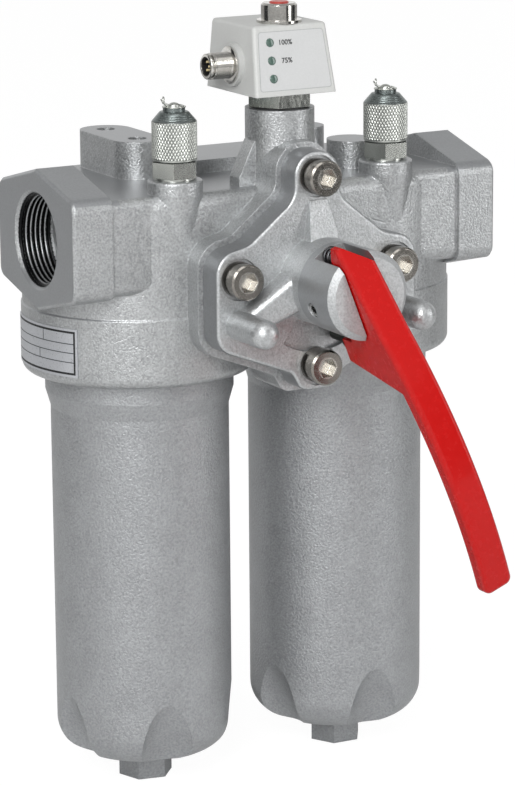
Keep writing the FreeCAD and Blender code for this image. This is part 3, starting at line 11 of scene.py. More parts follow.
import bpy
import numpy as np
from mathutils import Matrix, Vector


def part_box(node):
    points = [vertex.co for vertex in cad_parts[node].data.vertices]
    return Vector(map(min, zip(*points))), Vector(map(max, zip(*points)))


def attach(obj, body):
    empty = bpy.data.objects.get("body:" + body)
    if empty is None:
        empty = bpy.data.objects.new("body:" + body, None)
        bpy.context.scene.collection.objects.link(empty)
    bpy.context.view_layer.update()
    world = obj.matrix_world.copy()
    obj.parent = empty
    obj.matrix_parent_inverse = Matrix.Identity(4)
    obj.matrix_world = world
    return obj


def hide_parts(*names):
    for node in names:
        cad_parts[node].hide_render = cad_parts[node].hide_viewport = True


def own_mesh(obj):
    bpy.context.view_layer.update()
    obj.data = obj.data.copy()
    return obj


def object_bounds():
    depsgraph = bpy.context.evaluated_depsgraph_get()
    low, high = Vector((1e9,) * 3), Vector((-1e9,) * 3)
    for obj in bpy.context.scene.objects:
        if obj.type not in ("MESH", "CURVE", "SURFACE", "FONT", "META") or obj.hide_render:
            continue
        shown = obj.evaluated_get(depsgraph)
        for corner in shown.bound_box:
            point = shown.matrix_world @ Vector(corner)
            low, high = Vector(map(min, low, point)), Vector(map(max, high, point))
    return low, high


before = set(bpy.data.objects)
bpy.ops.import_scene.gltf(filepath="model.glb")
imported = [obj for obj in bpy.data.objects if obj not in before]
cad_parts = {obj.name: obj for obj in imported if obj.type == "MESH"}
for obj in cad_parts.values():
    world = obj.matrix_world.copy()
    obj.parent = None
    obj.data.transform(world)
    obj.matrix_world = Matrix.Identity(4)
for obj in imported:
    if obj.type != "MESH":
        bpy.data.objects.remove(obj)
CAD_BOX = [list(corner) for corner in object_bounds()]

bl_info = {
    "name": "Changeover filter looks",
    "version": (1, 0, 0),
    "blender": (4, 5, 0),
    "location": "View3D > Sidebar > Filter",
    "description": "Adds threads, knurls, labels, finishes and a stage to the packed filter",
    "category": "Add Mesh",
}

# Places of the main axes and faces in the frame, in mm. The origin is the middle of the left
# port's mouth
MIDDLE_X = 107.1
BOWL_Y = 11.8
LEFT_BOWL_X = MIDDLE_X - 51.2
PORT_FACES = (0.0, 2 * MIDDLE_X)
# Heights of the head's milled tops, how far from the middle the sloping tops of its flanges
# begin, and where the cover's milled rim begins behind its cast face
MILLED_TOPS = (21.0, 38.0, 33.5, 27.0, 54.8)
FLANGE_START = 83.5
COVER_RIM_Y = -62.9
# How far the floor lies under the bowls
FLOOR_GAP = 0.3

# How a finish is mixed: the span that a noise mostly stays in, how much the clouds count beside
# the grains, the span of both together that goes from the dark tone to the full one, and the
# roughness of a clear coat
NOISE_SPAN = (0.3, 0.7)
CLOUD_WEIGHT = 0.3
TONE_SPAN = (0.42, 0.88)
COAT_ROUGHNESS = 0.08
# A milled face: its roughness, the share of the grain that is left, and its darkest share
MILLED_ROUGHNESS = 0.36
MILLED_GRAIN = 0.08
MILLED_DARK = 0.86


def linear(text):
    """Linear red, green and blue of an sRGB hex value."""
    parts = np.array([int(text[i:i + 2], 16) for i in (0, 2, 4)]) / 255
    low = parts / 12.92
    high = ((parts + 0.055) / 1.055) ** 2.4
    return tuple(float(v) for v in np.where(parts <= 0.04045, low, high))


def colour(name, about, text):
    """A colour property that starts at an sRGB hex value."""
    return bpy.props.FloatVectorProperty(
        name=name, description=about, subtype="COLOR", size=3, min=0, max=1, default=linear(text))


def length(name, about, millimetres):
    """A length property that starts at so many millimetres. Blender keeps it in metres."""
    return bpy.props.FloatProperty(
        name=name, description=about, subtype="DISTANCE", unit="LENGTH", precision=5,
        default=millimetres / 1000)


class FilterSizes(bpy.types.PropertyGroup):
    """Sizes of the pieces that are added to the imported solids."""
    port_radius: length("Port radius", "Outer radius of the port's pipe thread", 20.955)
    port_pitch: length("Port pitch", "Distance between two crests of the port thread", 2.309)
    port_depth: length("Port thread depth", "Height of the port thread's profile", 1.479)
    port_reach: length("Port thread reach", "How far the thread runs into the port", 17.5)
    knurl_pitch: length("Knurl pitch", "Width of a diamond of the knurl", 1.5)
    knurl_depth: length("Knurl depth", "Depth of the knurl's grooves", 0.32)
    plug_pitch: length("Connector pitch", "Pitch of the connector's thread", 1.0)
    plug_depth: length("Connector thread depth", "Depth of the connector's thread", 0.55)
    line_wide: length("Nameplate line", "Width of the nameplate's thin lines", 0.45)
    border_wide: length("Nameplate border", "Width of the nameplate's dark border", 0.95)
    figure_high: length("Figure height", "Height of the figures beside the lights", 2.3)


class FilterColours(bpy.types.PropertyGroup):
    """Main colours of the finishes."""
    cast: colour("Cast aluminium", "Blasted skin of the head and the cover", "babcbd")
    bowl: colour("Bowls", "Blasted skin of the two bowls", "a8aaac")
    machined: colour("Machined aluminium", "Milled and turned faces", "a3a5a7")
    steel: colour("Screw steel", "Socket screws of the cover", "918d87")
    zinc: colour("Zinc plating", "Hexagons and knurled caps", "b3b5b0")
    lever: colour("Lever paint", "Red paint of the changeover lever", "b30a08")
    housing: colour("Housing plastic", "Indicator housing", "b9bab8")
    lens: colour("Lenses", "Grey green lenses of the indicator", "50685f")
    foil: colour("Nameplate foil", "Silver foil of the nameplate", "bfc1c5")


def add(tree, kind, inputs=(), **settings):
    """Adds one shader node and returns its outputs. An input is the output of another node,
    which is linked, or a plain value. Settings are the node's own attributes."""
    made = tree.nodes.new("ShaderNode" + kind)
    for key, value in settings.items():
        setattr(made, key, value)
    for key, value in dict(inputs).items():
        if isinstance(value, bpy.types.NodeSocket):
            tree.links.new(value, made.inputs[key])
        else:
            made.inputs[key].default_value = value
    return made.outputs


def from_middle(tree, across):
    """How far a place lies from the part's middle, on either side."""
    off = add(tree, "Math", {0: across, 1: MIDDLE_X / 1000}, operation="SUBTRACT")[0]
    return add(tree, "Math", {0: off}, operation="ABSOLUTE")[0]


def facing_aside(tree, most=0.3):
    """A mask that is 1 where the part of the normal along Y is under most, such as on the side
    of a piece that is turned about Y."""
    facing = add(tree, "SeparateXYZ", {0: add(tree, "TexCoord")["Normal"]})[1]
    size = add(tree, "Math", {0: facing}, operation="ABSOLUTE")[0]
    return add(tree, "Math", {0: size, 1: most}, operation="LESS_THAN")[0]


def head_milling(tree):
    """A mask that is 1 on the head's milled faces: level tops and port faces, each told by its
    place and its normal, and the sloping tops of the port flanges, far out from the middle."""
    texture = add(tree, "TexCoord")
    place = add(tree, "SeparateXYZ", {0: texture["Object"]})
    facing = add(tree, "SeparateXYZ", {0: texture["Normal"]})
    out = from_middle(tree, place[0])
    far = add(tree, "Math", {0: out, 1: FLANGE_START / 1000}, operation="GREATER_THAN")[0]
    upward = add(tree, "Math", {0: facing[2], 1: 0.5}, operation="GREATER_THAN")[0]
    total = add(tree, "Math", {0: far, 1: upward}, operation="MULTIPLY")[0]
    for axis, at in [(2, top) for top in MILLED_TOPS] + [(0, face) for face in PORT_FACES]:
        near = add(tree, "Math", {0: place[axis], 1: at / 1000, 2: 0.00015}, operation="COMPARE")[0]
        size = add(tree, "Math", {0: facing[axis]}, operation="ABSOLUTE")[0]
        square = add(tree, "Math", {0: size, 1: 1.0, 2: 0.02}, operation="COMPARE")[0]
        milled = add(tree, "Math", {0: near, 1: square}, operation="MULTIPLY")[0]
        total = add(tree, "Math", {0: total, 1: milled}, operation="MAXIMUM")[0]
    return total


def cover_milling(tree):
    """A mask that is 1 on the cover's milled rim: behind its face, where the normal lies across
    the view from the front."""
    back = add(tree, "SeparateXYZ", {0: add(tree, "TexCoord")["Object"]})[1]
    behind = add(tree, "Math", {0: back, 1: COVER_RIM_Y / 1000}, operation="GREATER_THAN")[0]
    return add(tree, "Math", {0: behind, 1: facing_aside(tree, 0.6)}, operation="MULTIPLY")[0]


def tint(material, share, tone):
    """Lays another tone over a finish, as far as the share says."""
    tree = material.node_tree
    base = tree.nodes["Principled BSDF"].inputs["Base Color"]
    plain = base.links[0].from_socket
    mixed = add(tree, "Mix", {0: share, 6: plain, 7: (*tone, 1)}, data_type="RGBA")[2]
    tree.links.new(mixed, base)


def paint_hollow_light_and_shade(material, axis, centre, crest, root, tone, mirrored=False):
    """Paints light or shade into a round piece's hollows: a painted tone, dark as shade in grooves and
    thread roots, pale as a highlight in screw sockets, takes over as the distance from the piece's
    axis goes from crest to root, in mm. A mirrored piece measures its place across from the middle of the
    part."""
    tree = material.node_tree
    place = list(add(tree, "SeparateXYZ", {0: add(tree, "TexCoord")["Object"]}))
    if mirrored:
        place[0] = from_middle(tree, place[0])
    off = [add(tree, "Math", {0: place[i], 1: centre[i] / 1000}, operation="SUBTRACT")[0]
           for i in range(3) if i != axis]
    squares = [add(tree, "Math", {0: way, 1: 2.0}, operation="POWER")[0] for way in off]
    total = add(tree, "Math", dict(enumerate(squares)), operation="ADD")[0]
    away = add(tree, "Math", {0: total}, operation="SQRT")[0]
    share = add(tree, "MapRange", {"Value": away, "From Min": crest / 1000, "From Max": root / 1000})[0]
    tint(material, share, tone)


def finish(name, tone, dark, patch, grain, relief, roughness, spread=0.06, metallic=0.0, edge=0.0,
           coat=0.0, milling=None, machined=None, stretch=(1, 1, 1), ior=None):
    """A surface of two tones. Clouds of patch mm and grains of grain mm mix the tone with its
    darker form, the grains raise the surface by relief mm and spread the roughness, and
    corners are rounded over edge mm. Milling makes a mask of faces that are smooth instead,
    and a stretch under 1 draws the grains out along that axis. Tones may be sRGB hex values.
    Real grains, of a blast, a plating or an eroded mould, are under 0.3 mm and too fine to
    show, so they are drawn 0.4 to 1 mm wide."""
    tone, dark = (linear(v) if isinstance(v, str) else v for v in (tone, dark))
    material = bpy.data.materials.new(name)
    material.use_nodes = True
    tree = material.node_tree
    shader = tree.nodes["Principled BSDF"]
    values = {"Metallic": metallic, "Coat Weight": coat, "Coat Roughness": COAT_ROUGHNESS}
    if ior:
        values["IOR"] = ior
    for key, value in values.items():
        shader.inputs[key].default_value = value
    coords = add(tree, "TexCoord")["Object"]
    along = add(tree, "Mapping", {"Vector": coords, "Scale": stretch})[0]
    clouds = add(tree, "TexNoise", {"Vector": coords, "Scale": 1000 / patch, "Detail": 3.0})["Fac"]
    height = add(tree, "TexNoise", {"Vector": along, "Scale": 1000 / grain, "Detail": 2.0,
                                    "Roughness": 0.6})["Fac"]
    both = add(tree, "Math", {0: clouds, 1: CLOUD_WEIGHT, 2: height}, operation="MULTIPLY_ADD")[0]
    share = add(tree, "MapRange", {"Value": both, "From Min": TONE_SPAN[0], "From Max": TONE_SPAN[1]})[0]
    skin = add(tree, "Mix", {0: share, 6: (*dark, 1), 7: (*tone, 1)}, data_type="RGBA")[2]
    rough = add(tree, "MapRange", {"Value": height, "From Min": NOISE_SPAN[0], "From Max": NOISE_SPAN[1],
                                   "To Min": roughness - spread, "To Max": roughness + spread})[0]
    if milling:
        mask = milling(tree)
        shaded = toned(machined, MILLED_DARK)
        milled = add(tree, "Mix", {0: share, 6: (*shaded, 1), 7: (*machined, 1)}, data_type="RGBA")[2]
        skin = add(tree, "Mix", {0: mask, 6: skin, 7: milled}, data_type="RGBA")[2]
        rough = add(tree, "Mix", {0: mask, 2: rough, 3: MILLED_ROUGHNESS}, data_type="FLOAT")[0]
        kept = add(tree, "MapRange", {"Value": mask, "To Min": 1.0, "To Max": MILLED_GRAIN})[0]
        height = add(tree, "Math", {0: height, 1: kept}, operation="MULTIPLY")[0]
    relieved = {"Height": height, "Strength": 1.0, "Distance": relief / 1000}
    if edge:
        relieved["Normal"] = add(tree, "Bevel", {"Radius": edge / 1000})[0]
    bump = add(tree, "Bump", relieved)[0]
    for key, socket in (("Base Color", skin), ("Roughness", rough), ("Normal", bump)):
        tree.links.new(socket, shader.inputs[key])
    return material


def toned(tone, share):
    """The tone at so large a share of its light, which may be more than 1."""
    return tuple(share * v for v in tone)


def tones(context, *names):
    """Colours of the panel as plain red, green and blue."""
    return [tuple(getattr(context.scene.filter_colours, name)) for name in names]


def dress(material, *names):
    """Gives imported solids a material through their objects' own slots."""
    for name in names:
        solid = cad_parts[name]
        if not solid.material_slots:
            solid.data.materials.append(material)
        for place in solid.material_slots:
            place.link = "OBJECT"
            place.material = material


def skin_of(rings, loop=False):
    """Points, quads and triangles over a grid of rings. Quads join each ring to the next, and
    the last to the first if it is a loop; otherwise each end ring is closed by a fan of
    triangles to its middle point."""
    count, around = rings.shape[:2]
    index = np.arange(count * around).reshape(count, around)
    below = index if loop else index[:-1]
    above = np.roll(index, -1, axis=0) if loop else index[1:]
    quads = np.stack([below, np.roll(below, -1, axis=1), np.roll(above, -1, axis=1), above], axis=-1)
    points = rings.reshape(-1, 3)
    fans = np.empty((0, 3), int)
    if not loop:
        first, last = index[0], index[-1]
        points = np.vstack([points, rings[0].mean(axis=0), rings[-1].mean(axis=0)])
        low = np.full(around, count * around)
        fans = np.vstack([np.stack([low, np.roll(first, -1), first], axis=-1),
                          np.stack([low + 1, last, np.roll(last, -1)], axis=-1)])
    return points, quads.reshape(-1, 4), fans


def outward(points, quads, fans):
    """The faces turned to point outwards. The volume under them is the sum of the triple
    products of their corners, and it is below zero where they point inwards."""
    corners = np.vstack([quads[:, [0, 1, 2]], quads[:, [0, 2, 3]], fans])
    a, b, c = (points[corners[:, i]] for i in range(3))
    way = 1 if (np.cross(a, b) * c).sum() > 0 else -1
    return quads[:, ::way], fans[:, ::way]


def place_in_scene(name, data):
    """A new object with its data, linked into the scene."""
    made = bpy.data.objects.new(name, data)
    bpy.context.scene.collection.objects.link(made)
    return made


def carry(mesh, material, slot, body="filter", replaced=()):
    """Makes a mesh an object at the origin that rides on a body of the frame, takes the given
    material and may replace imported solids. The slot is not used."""
    mesh.materials.append(material)
    made = place_in_scene(mesh.name, mesh)
    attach(made, body)
    if replaced:
        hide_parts(*replaced)
    return made


def piece(name, parts, material, slot, sharp=40, **carried):
    """One object from closed skins in mm. Edges that turn by more than sharp degrees stay
    sharp."""
    points, faces, start = [], [], 0
    for part_points, quads, fans in parts:
        for group in outward(part_points, quads, fans):
            faces += (group + start).tolist()
        points.append(part_points)
        start += len(part_points)
    mesh = bpy.data.meshes.new(name)
    mesh.from_pydata(np.vstack(points) / 1000, [], faces)
    mesh.shade_smooth()
    mesh.set_sharp_from_angle(angle=math.radians(sharp))
    return carry(mesh, material, slot, **carried)


def turned(profile, origin, axis, around, relief=None):
    """A profile of (radius, height) pairs carried round an axis through origin. Relief gives
    how far a point of the grid moves inwards, from its angle and its height."""
    profile = np.asarray(profile, float)
    angle = np.linspace(0, 2 * np.pi, around, endpoint=False)[None, :]
    height = profile[:, 1:2] + 0 * angle
    radius = profile[:, 0:1] + 0 * angle
    if relief is not None:
        radius = radius - relief(angle + 0 * height, height)
    along = np.array(axis, float)
    side = np.array([1.0, 0, 0]) if abs(along[0]) < 0.5 else np.array([0, 1.0, 0])
    other = np.cross(along, side)
    return (np.array(origin, float) + radius[..., None] * (np.cos(angle)[..., None] * side
            + np.sin(angle)[..., None] * other) + height[..., None] * along)


def rows(*corners, step=0.25):
    """A profile through the corners with rows no further apart than step."""
    out = []
    for (r0, h0), (r1, h1) in zip(corners, corners[1:]):
        count = max(1, math.ceil(math.hypot(r1 - r0, h1 - h0) / step))
        share = np.arange(count) / count
        out.append(np.stack([r0 + share * (r1 - r0), h0 + share * (h1 - h0)], axis=-1))
    return np.vstack([*out, [corners[-1]]])


def wave(phase):
    """A rounded thread profile, from 0 at a crest to 1 at a root, once a turn of phase."""
    return 0.5 - 0.5 * np.cos(2 * np.pi * phase)


def faded(height, low, high, pitch):
    """1 along a thread from low to high, and down to 0 over one pitch at either end."""
    return np.clip((height - low) / pitch, 0, 1) * np.clip((high - height) / pitch, 0, 1)


def swept(path, width, thick, up=(0, 0, 1)):
    """A flat strip along a path: at each point four corners stand half the width to the sides
    and half the thickness above and below, square to the path."""
    path = np.asarray(path, float)
    ahead = np.gradient(path, axis=0)
    ahead /= np.linalg.norm(ahead, axis=1)[:, None]
    side = np.cross(ahead, np.array(up, float))
    side /= np.linalg.norm(side, axis=1)[:, None]
    over = np.cross(side, ahead)
    signs = np.array([(1, 1), (-1, 1), (-1, -1), (1, -1)]) / 2
    return np.stack([path + a * width * side + b * thick * over for a, b in signs], axis=1)


def wire(path, radius, loop=False, around=10):
    """A round wire along a path: a circle at each point, square to the path, measured from
    the direction that leans least towards it."""
    path = np.asarray(path, float)
    ahead = np.roll(path, -1, axis=0) - np.roll(path, 1, axis=0) if loop else np.gradient(path, axis=0)
    ahead /= np.linalg.norm(ahead, axis=1)[:, None]
    least = np.eye(3)[np.abs(ahead).sum(axis=0).argmin()]
    side = np.cross(ahead, least)
    side /= np.linalg.norm(side, axis=1)[:, None]
    over = np.cross(ahead, side)
    angle = np.linspace(0, 2 * np.pi, around, endpoint=False)[None, :, None]
    return path[:, None] + radius * (np.cos(angle) * side[:, None] + np.sin(angle) * over[:, None])


def bent_plate(arc, heights, radii, across, step=2):
    """A plate on a bowl's housing: four corners, of two radii and two heights, carried round
    the bowl's axis from one angle to the other, in steps of so many degrees."""
    angle = np.radians(np.linspace(*arc, max(2, math.ceil(abs(arc[1] - arc[0]) / step) + 1)))
    corner = np.array([(radii[0], heights[0]), (radii[1], heights[0]),
                       (radii[1], heights[1]), (radii[0], heights[1])])
    radius, height = corner[None, :, 0], corner[None, :, 1] + 0 * angle[:, None]
    return np.stack([across + radius * np.cos(angle)[:, None],
                     BOWL_Y + radius * np.sin(angle)[:, None], height], axis=-1)


class FILTER_OT_castings(bpy.types.Operator):
    """Dress the cast head, the cover and the bowls"""
    bl_idname = "filter.castings"
    bl_label = "Castings"
    bl_options = {"REGISTER", "UNDO"}

    def execute(self, context):
        cast, bowl, cut = tones(context, "cast", "bowl", "machined")
        # Aluminium alloy, sand cast and bead blasted: bright matt grey with a sparkling grain.
        # The grains of the blast are 0.2 mm, drawn as about 1 mm here and on the next two.
        # Milled faces are smooth and a shade darker
        head = finish("cast_aluminium_blasted", cast, toned(cast, 0.6), 9, 1.0, 0.3, 0.34,
                      metallic=0.75, edge=0.8, milling=head_milling, machined=cut)
        dress(head, "filter_head")
        # The cover is cast the same way, a little paler and with crisper edges
        cover = finish("cast_aluminium_cover", toned(cast, 1.1), toned(cast, 0.7), 7, 0.95, 0.22, 0.35,
                       metallic=0.72, edge=0.4, milling=cover_milling, machined=toned(cut, 0.75))
        dress(cover, "valve_cover")
        # The bowls are drawn aluminium, blasted: a shade darker, with wider clouds
        tank = finish("drawn_aluminium_blasted", bowl, toned(bowl, 0.68), 14, 1.05, 0.36, 0.38,
                      metallic=0.62, edge=0.5)
        dress(tank, "filter_bowl_left", "filter_bowl_right")
        return {"FINISHED"}


class FILTER_OT_valve(bpy.types.Operator):
    """Dress the changeover valve with its lever and screws, and add the lever's spring"""
    bl_idname = "filter.valve"
    bl_label = "Changeover valve"
    bl_options = {"REGISTER", "UNDO"}

    # Middles of the cover's screws, measured across from the middle of the part, and the radii
    # that the painted highlight in their sockets takes over between
    screw_middles = ((0, 0, 28.3), (0, 0, -56.2), (39.2, 0, -13.9))
    socket_highlight_radii = (4.95, 4.75)
    # The spring's wire and turns, and how much of its length it keeps when it is unlocked
    spring_wire, spring_turns, spring_kept = 1.3, 5, 0.88

    def execute(self, context):
        cast, cut, steel, red = tones(context, "cast", "machined", "steel", "lever")
        # Cast aluminium with a turned side: a pale sandy front, and a smoother grey round it
        hub = finish("turned_aluminium", toned(cast, 1.05), toned(cast, 0.7), 6, 0.9, 0.3, 0.48,
                     metallic=0.6, edge=0.3, milling=facing_aside, machined=toned(cut, 0.95))
        dress(hub, "lever_hub")
        # Black nickel plated steel: dark and smooth with sharp lights on its edges, and sockets
        # painted pale as a highlight for the reflection seen in them
        screw = finish("black_nickel_plated_steel", steel, toned(steel, 0.85), 3, 0.6, 0.001, 0.22,
                       metallic=1.0, edge=0.35)
        for middle in self.screw_middles:
            # Painted highlight: the inside of each socket takes a pale tone
            paint_hollow_light_and_shade(screw, 1, middle, *self.socket_highlight_radii, linear("b8b5af"), mirrored=True)
        dress(screw, "cover_screws")
        # Ground steel: pale, smooth and faintly streaked
        pin = finish("ground_steel", "c4c4c2", "8f908e", 4, 0.7, 0.008, 0.25,
                     metallic=1.0, stretch=(1, 0.2, 1))
        dress(pin, "lever_pin", "changeover_spool")
        # Oil tempered spring wire: dark blue grey with a low gloss
        coil = finish("spring_steel", "6d6e70", "3c3d3f", 2, 0.5, 0.01, 0.35, metallic=1.0)
        self.add_spring(coil)
        # Phosphated steel: green black, dull
        bolt = finish("phosphated_steel", "39403b", "20241f", 2, 0.4, 0.01, 0.45, metallic=0.8, edge=0.2)
        dress(bolt, "lock_bolt")
        # Powder coated zinc casting: glossy signal red with the faint waves of the coat
        paint = finish("red_powder_coat", red, toned(red, 0.95), 25, 3.0, 0.004, 0.26, spread=0.03,
                       edge=0.8, coat=0.14, ior=1.3)
        dress(paint, "changeover_lever")
        return {"FINISHED"}

    def add_spring(self, material):
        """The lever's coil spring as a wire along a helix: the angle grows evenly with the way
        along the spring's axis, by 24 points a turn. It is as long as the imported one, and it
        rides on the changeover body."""
        low, high = (1000 * np.array(corner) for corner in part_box("lever_spring"))
        middle = (low + high) / 2
        coil_radius = (high[0] - low[0]) / 2 - self.spring_wire / 2
        share = np.linspace(0, 1, 24 * self.spring_turns + 1)
        angle = 2 * np.pi * self.spring_turns * share
        back, front = high[1] - self.spring_wire / 2, low[1] + self.spring_wire / 2
        path = np.stack([middle[0] + coil_radius * np.cos(angle), back + share * (front - back),
                         middle[2] + coil_radius * np.sin(angle)], axis=-1)
        made = piece("lever_spring_coil", [skin_of(wire(path, self.spring_wire / 2, around=12))], material,
                     "spring_steel", body="changeover", replaced=("lever_spring",), sharp=60)
        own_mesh(made)


class FILTER_OT_seals(bpy.types.Operator):
    """Dress the rubber seals"""
    bl_idname = "filter.seals"
    bl_label = "Seals"
    bl_options = {"REGISTER", "UNDO"}

    def execute(self, context):
        # Moulded nitrile rubber: near black and matt
        rubber = finish("nitrile_rubber", "2b2b2b", "1a1a1a", 5, 0.7, 0.01, 0.6, ior=1.52)
        dress(rubber, "stem_seal", "cover_seal", "bowl_seal_left", "bowl_seal_right", "indicator_seal",
              "element_seal_left", "element_seal_right")
        return {"FINISHED"}


class FILTER_OT_test_points(bpy.types.Operator):
    """Add the knurled caps of the test points with their chain tags"""
    bl_idname = "filter.test_points"
    bl_label = "Test points"
    bl_options = {"REGISTER", "UNDO"}

    # Heights of a cap's foot, of its knurl's top and of its cone's top, its radius, and how far
    # it stands from the part's middle and before the bowls' axes
    foot, knurl_top, cone_top = 35.5, 53.1, 58.7
    radius = 10.0
    aside, ahead = 53.6, 42.8

    def execute(self, context):
        sizes = context.scene.filter_sizes
        zinc, = tones(context, "zinc")
        # Zinc plated steel: pale, hard gloss with a faint brushed streak
        plated = finish("zinc_plated_steel", toned(zinc, 1.25), toned(zinc, 1.15), 4, 0.8, 0.0005, 0.24,
                        spread=0.015, metallic=1.0, edge=0.3)
        dress(plated, "test_point_body_left", "test_point_body_right", "test_point_seal_left",
              "test_point_seal_right", "cap_ring_left", "cap_ring_right")
        # Die cast zinc with a rolled knurl: pale diamonds, with painted shade darkening the grooves between
        # them
        cap_skin = finish("knurled_zinc", toned(zinc, 1.7), toned(zinc, 1.45), 5, 0.7, 0.003, 0.36,
                          metallic=0.85)
        forward = BOWL_Y - self.ahead
        # Painted shade: the grooves of the knurl take a dark tone
        paint_hollow_light_and_shade(cap_skin, 2, (self.aside, forward, 0), self.radius - 0.03, self.radius - 0.27,
                      linear("696d6b"), mirrored=True)
        # The same zinc, turned: a darker cone
        cone_skin = finish("turned_zinc_cone", "868d8c", "646b6a", 5, 0.7, 0.006, 0.34, metallic=0.95)
        for side, across in (("left", MIDDLE_X - self.aside), ("right", MIDDLE_X + self.aside)):
            origin = (across, forward, 0)
            self.add_cap(side, origin, sizes, cap_skin)
            self.add_cone(side, origin, cone_skin)
            self.add_tag(side, origin, plated)
        return {"FINISHED"}

    def add_cap(self, side, origin, sizes, material):
        """The knurl is two families of helical grooves. Each gives a triangle wave of the angle
        plus or minus the height, and the lower of the two is the height of a diamond."""
        pitch = sizes.knurl_pitch * 1000
        depth = sizes.knurl_depth * 1000
        low, high = self.foot + 1.3, self.knurl_top - 0.4
        starts = round(2 * np.pi * self.radius / pitch)

        def diamonds(angle, height):
            turn = starts * angle / (2 * np.pi)
            climb = height / (1.75 * pitch)
            left = 1 - np.abs(2 * ((turn + climb) % 1) - 1)
            right = 1 - np.abs(2 * ((turn - climb) % 1) - 1)
            inside = (height > low) & (height < high)
            tops = np.clip(1.9 * np.minimum(left, right), 0, 1)
            return depth * np.where(inside, 1 - tops, 0)

        profile = np.vstack([
            [(8.05, 51.1), (8.05, self.foot), (9.5, self.foot), (9.85, self.foot + 0.4),
             (9.85, low - 0.25), (9.6, low - 0.15), (9.6, low - 0.05)],
            rows((self.radius, low + 0.01), (self.radius, high - 0.01), step=0.24),
            [(9.75, high + 0.1), (9.7, self.knurl_top)]])
        grid = turned(profile, origin, (0, 0, 1), starts * 6, relief=diamonds)
        bore = profile[:, 0] < 9
        grid[bore] = turned(profile, origin, (0, 0, 1), starts * 6)[bore]
        piece("test_cap_" + side, [skin_of(grid)], material, "zinc_cap",
              replaced=("test_point_cap_" + side,), sharp=25)

    def add_cone(self, side, origin, material):
        """The cap's cone with three fine ring grooves, a profile turned round the cap's axis."""
        slope = 3.6 / 3.1
        grooves = [(9.7, self.knurl_top - 0.02)]
        for radius in (9.0, 8.3, 7.6):
            height = self.knurl_top + (9.7 - radius) * slope
            grooves += [(radius + 0.12, height - 0.12 * slope), (radius - 0.06, height - 0.09),
                        (radius - 0.12, height + 0.12 * slope)]
        grooves += [(6.6, self.knurl_top + 3.6), (6.2, self.knurl_top + 3.9), (4.9, self.knurl_top + 4.0),
                    (4.9, self.cone_top)]
        bottom = [(4.0, self.knurl_top - 0.3), (9.5, self.knurl_top - 0.3)]
        grid = turned(bottom + grooves, origin, (0, 0, 1), 96)
        piece("test_cap_cone_" + side, [skin_of(grid)], material, "zinc_cap")

    def add_tag(self, side, origin, material):
        """A washer under a domed rivet, a strip that leans out to the left, and a wire eye
        through its end. The dome is a quarter circle turned round the axis, the strip rises
        ever faster along its way, and the eye is a leaning ellipse."""
        x, y, _ = origin
        top = self.cone_top
        reach, rise = 4.6, 2.7
        washer = turned([(3.0, top + 0.05), (5.1, top + 0.05), (5.3, top + 0.3), (5.1, top + 0.6),
                         (3.0, top + 0.6)], origin, (0, 0, 1), 48)
        bow = np.radians(np.linspace(0, 84, 8))
        dome = np.stack([2.6 * np.cos(bow), top + 0.55 + 1.7 * np.sin(bow)], axis=-1)
        rivet = turned(np.vstack([[(2.3, top + 0.3)], dome]), origin, (0, 0, 1), 32)
        share = np.linspace(0, 1, 16)
        strip_path = np.stack([x - 2.0 - reach * share, y - 1.2 * share,
                               top + 0.75 + rise * share ** 1.5], axis=-1)
        strip = swept(strip_path, 2.8, 0.5, up=(0, -0.5, 1))
        eye_at = strip_path[-3]
        turn = np.linspace(0, 2 * np.pi, 24, endpoint=False)
        eye = np.stack([eye_at[0] + 0.7 * np.cos(turn) + 0.3, eye_at[1] + 1.1 * np.cos(turn),
                        eye_at[2] + 0.7 + 1.3 * np.sin(turn)], axis=-1)
        piece("test_cap_tag_" + side, [skin_of(washer), skin_of(rivet), skin_of(strip),
                                       skin_of(wire(eye, 0.45, loop=True), loop=True)],
              material, "ring_wire")


class FILTER_OT_port_threads(bpy.types.Operator):
    """Add the pipe threads inside the two ports"""
    bl_idname = "filter.port_threads"
    bl_label = "Port threads"
    bl_options = {"REGISTER", "UNDO"}

    # How far inside the port's mouth the thread starts
    start = 1.3

    def execute(self, context):
        sizes = context.scene.filter_sizes
        cut, = tones(context, "machined")
        # Aluminium, cut to a thread: pale smooth crests that catch the light, and roots that
        # lie in the dark
        skin = finish("cut_thread_aluminium", toned(cut, 1.3), cut, 5, 0.8, 0.01, 0.3, metallic=0.8)
        crest = 1000 * (sizes.port_radius - sizes.port_depth)
        paint_hollow_light_and_shade(skin, 0, (0, 0, 0), crest + 0.05, crest + 0.55, linear("0e0f10"))
        for side, face, way in (("left", PORT_FACES[0], 1), ("right", PORT_FACES[1], -1)):
            piece("port_thread_" + side, [skin_of(self.thread(sizes, face, way), loop=True)], skin,
                  "machined_aluminium", sharp=60)
        return {"FINISHED"}

    def thread(self, sizes, face, way):
        """A crest wave along the port climbs one pitch a turn and fades out at both ends. The
        skin goes back behind it, inside the wall."""
        radius, pitch, depth, reach = (1000 * v for v in (
            sizes.port_radius, sizes.port_pitch, sizes.port_depth, sizes.port_reach))
        count = round((reach - self.start) / pitch * 12)
        inner = np.stack([np.full(count, radius), np.linspace(self.start, reach, count)], axis=-1)
        outer = np.array([(radius + 0.2, reach), (radius + 0.2, self.start)])

        def crests(angle, height):
            turns = height / pitch - way * angle / (2 * np.pi)
            return depth * faded(height, self.start, reach, pitch) * (1 - wave(turns))

        profile = np.vstack([inner, outer])
        grid = turned(profile, (face, 0, 0), (way, 0, 0), 96, relief=crests)
        grid[-2:] = turned(outer, (face, 0, 0), (way, 0, 0), 96)
        return grid


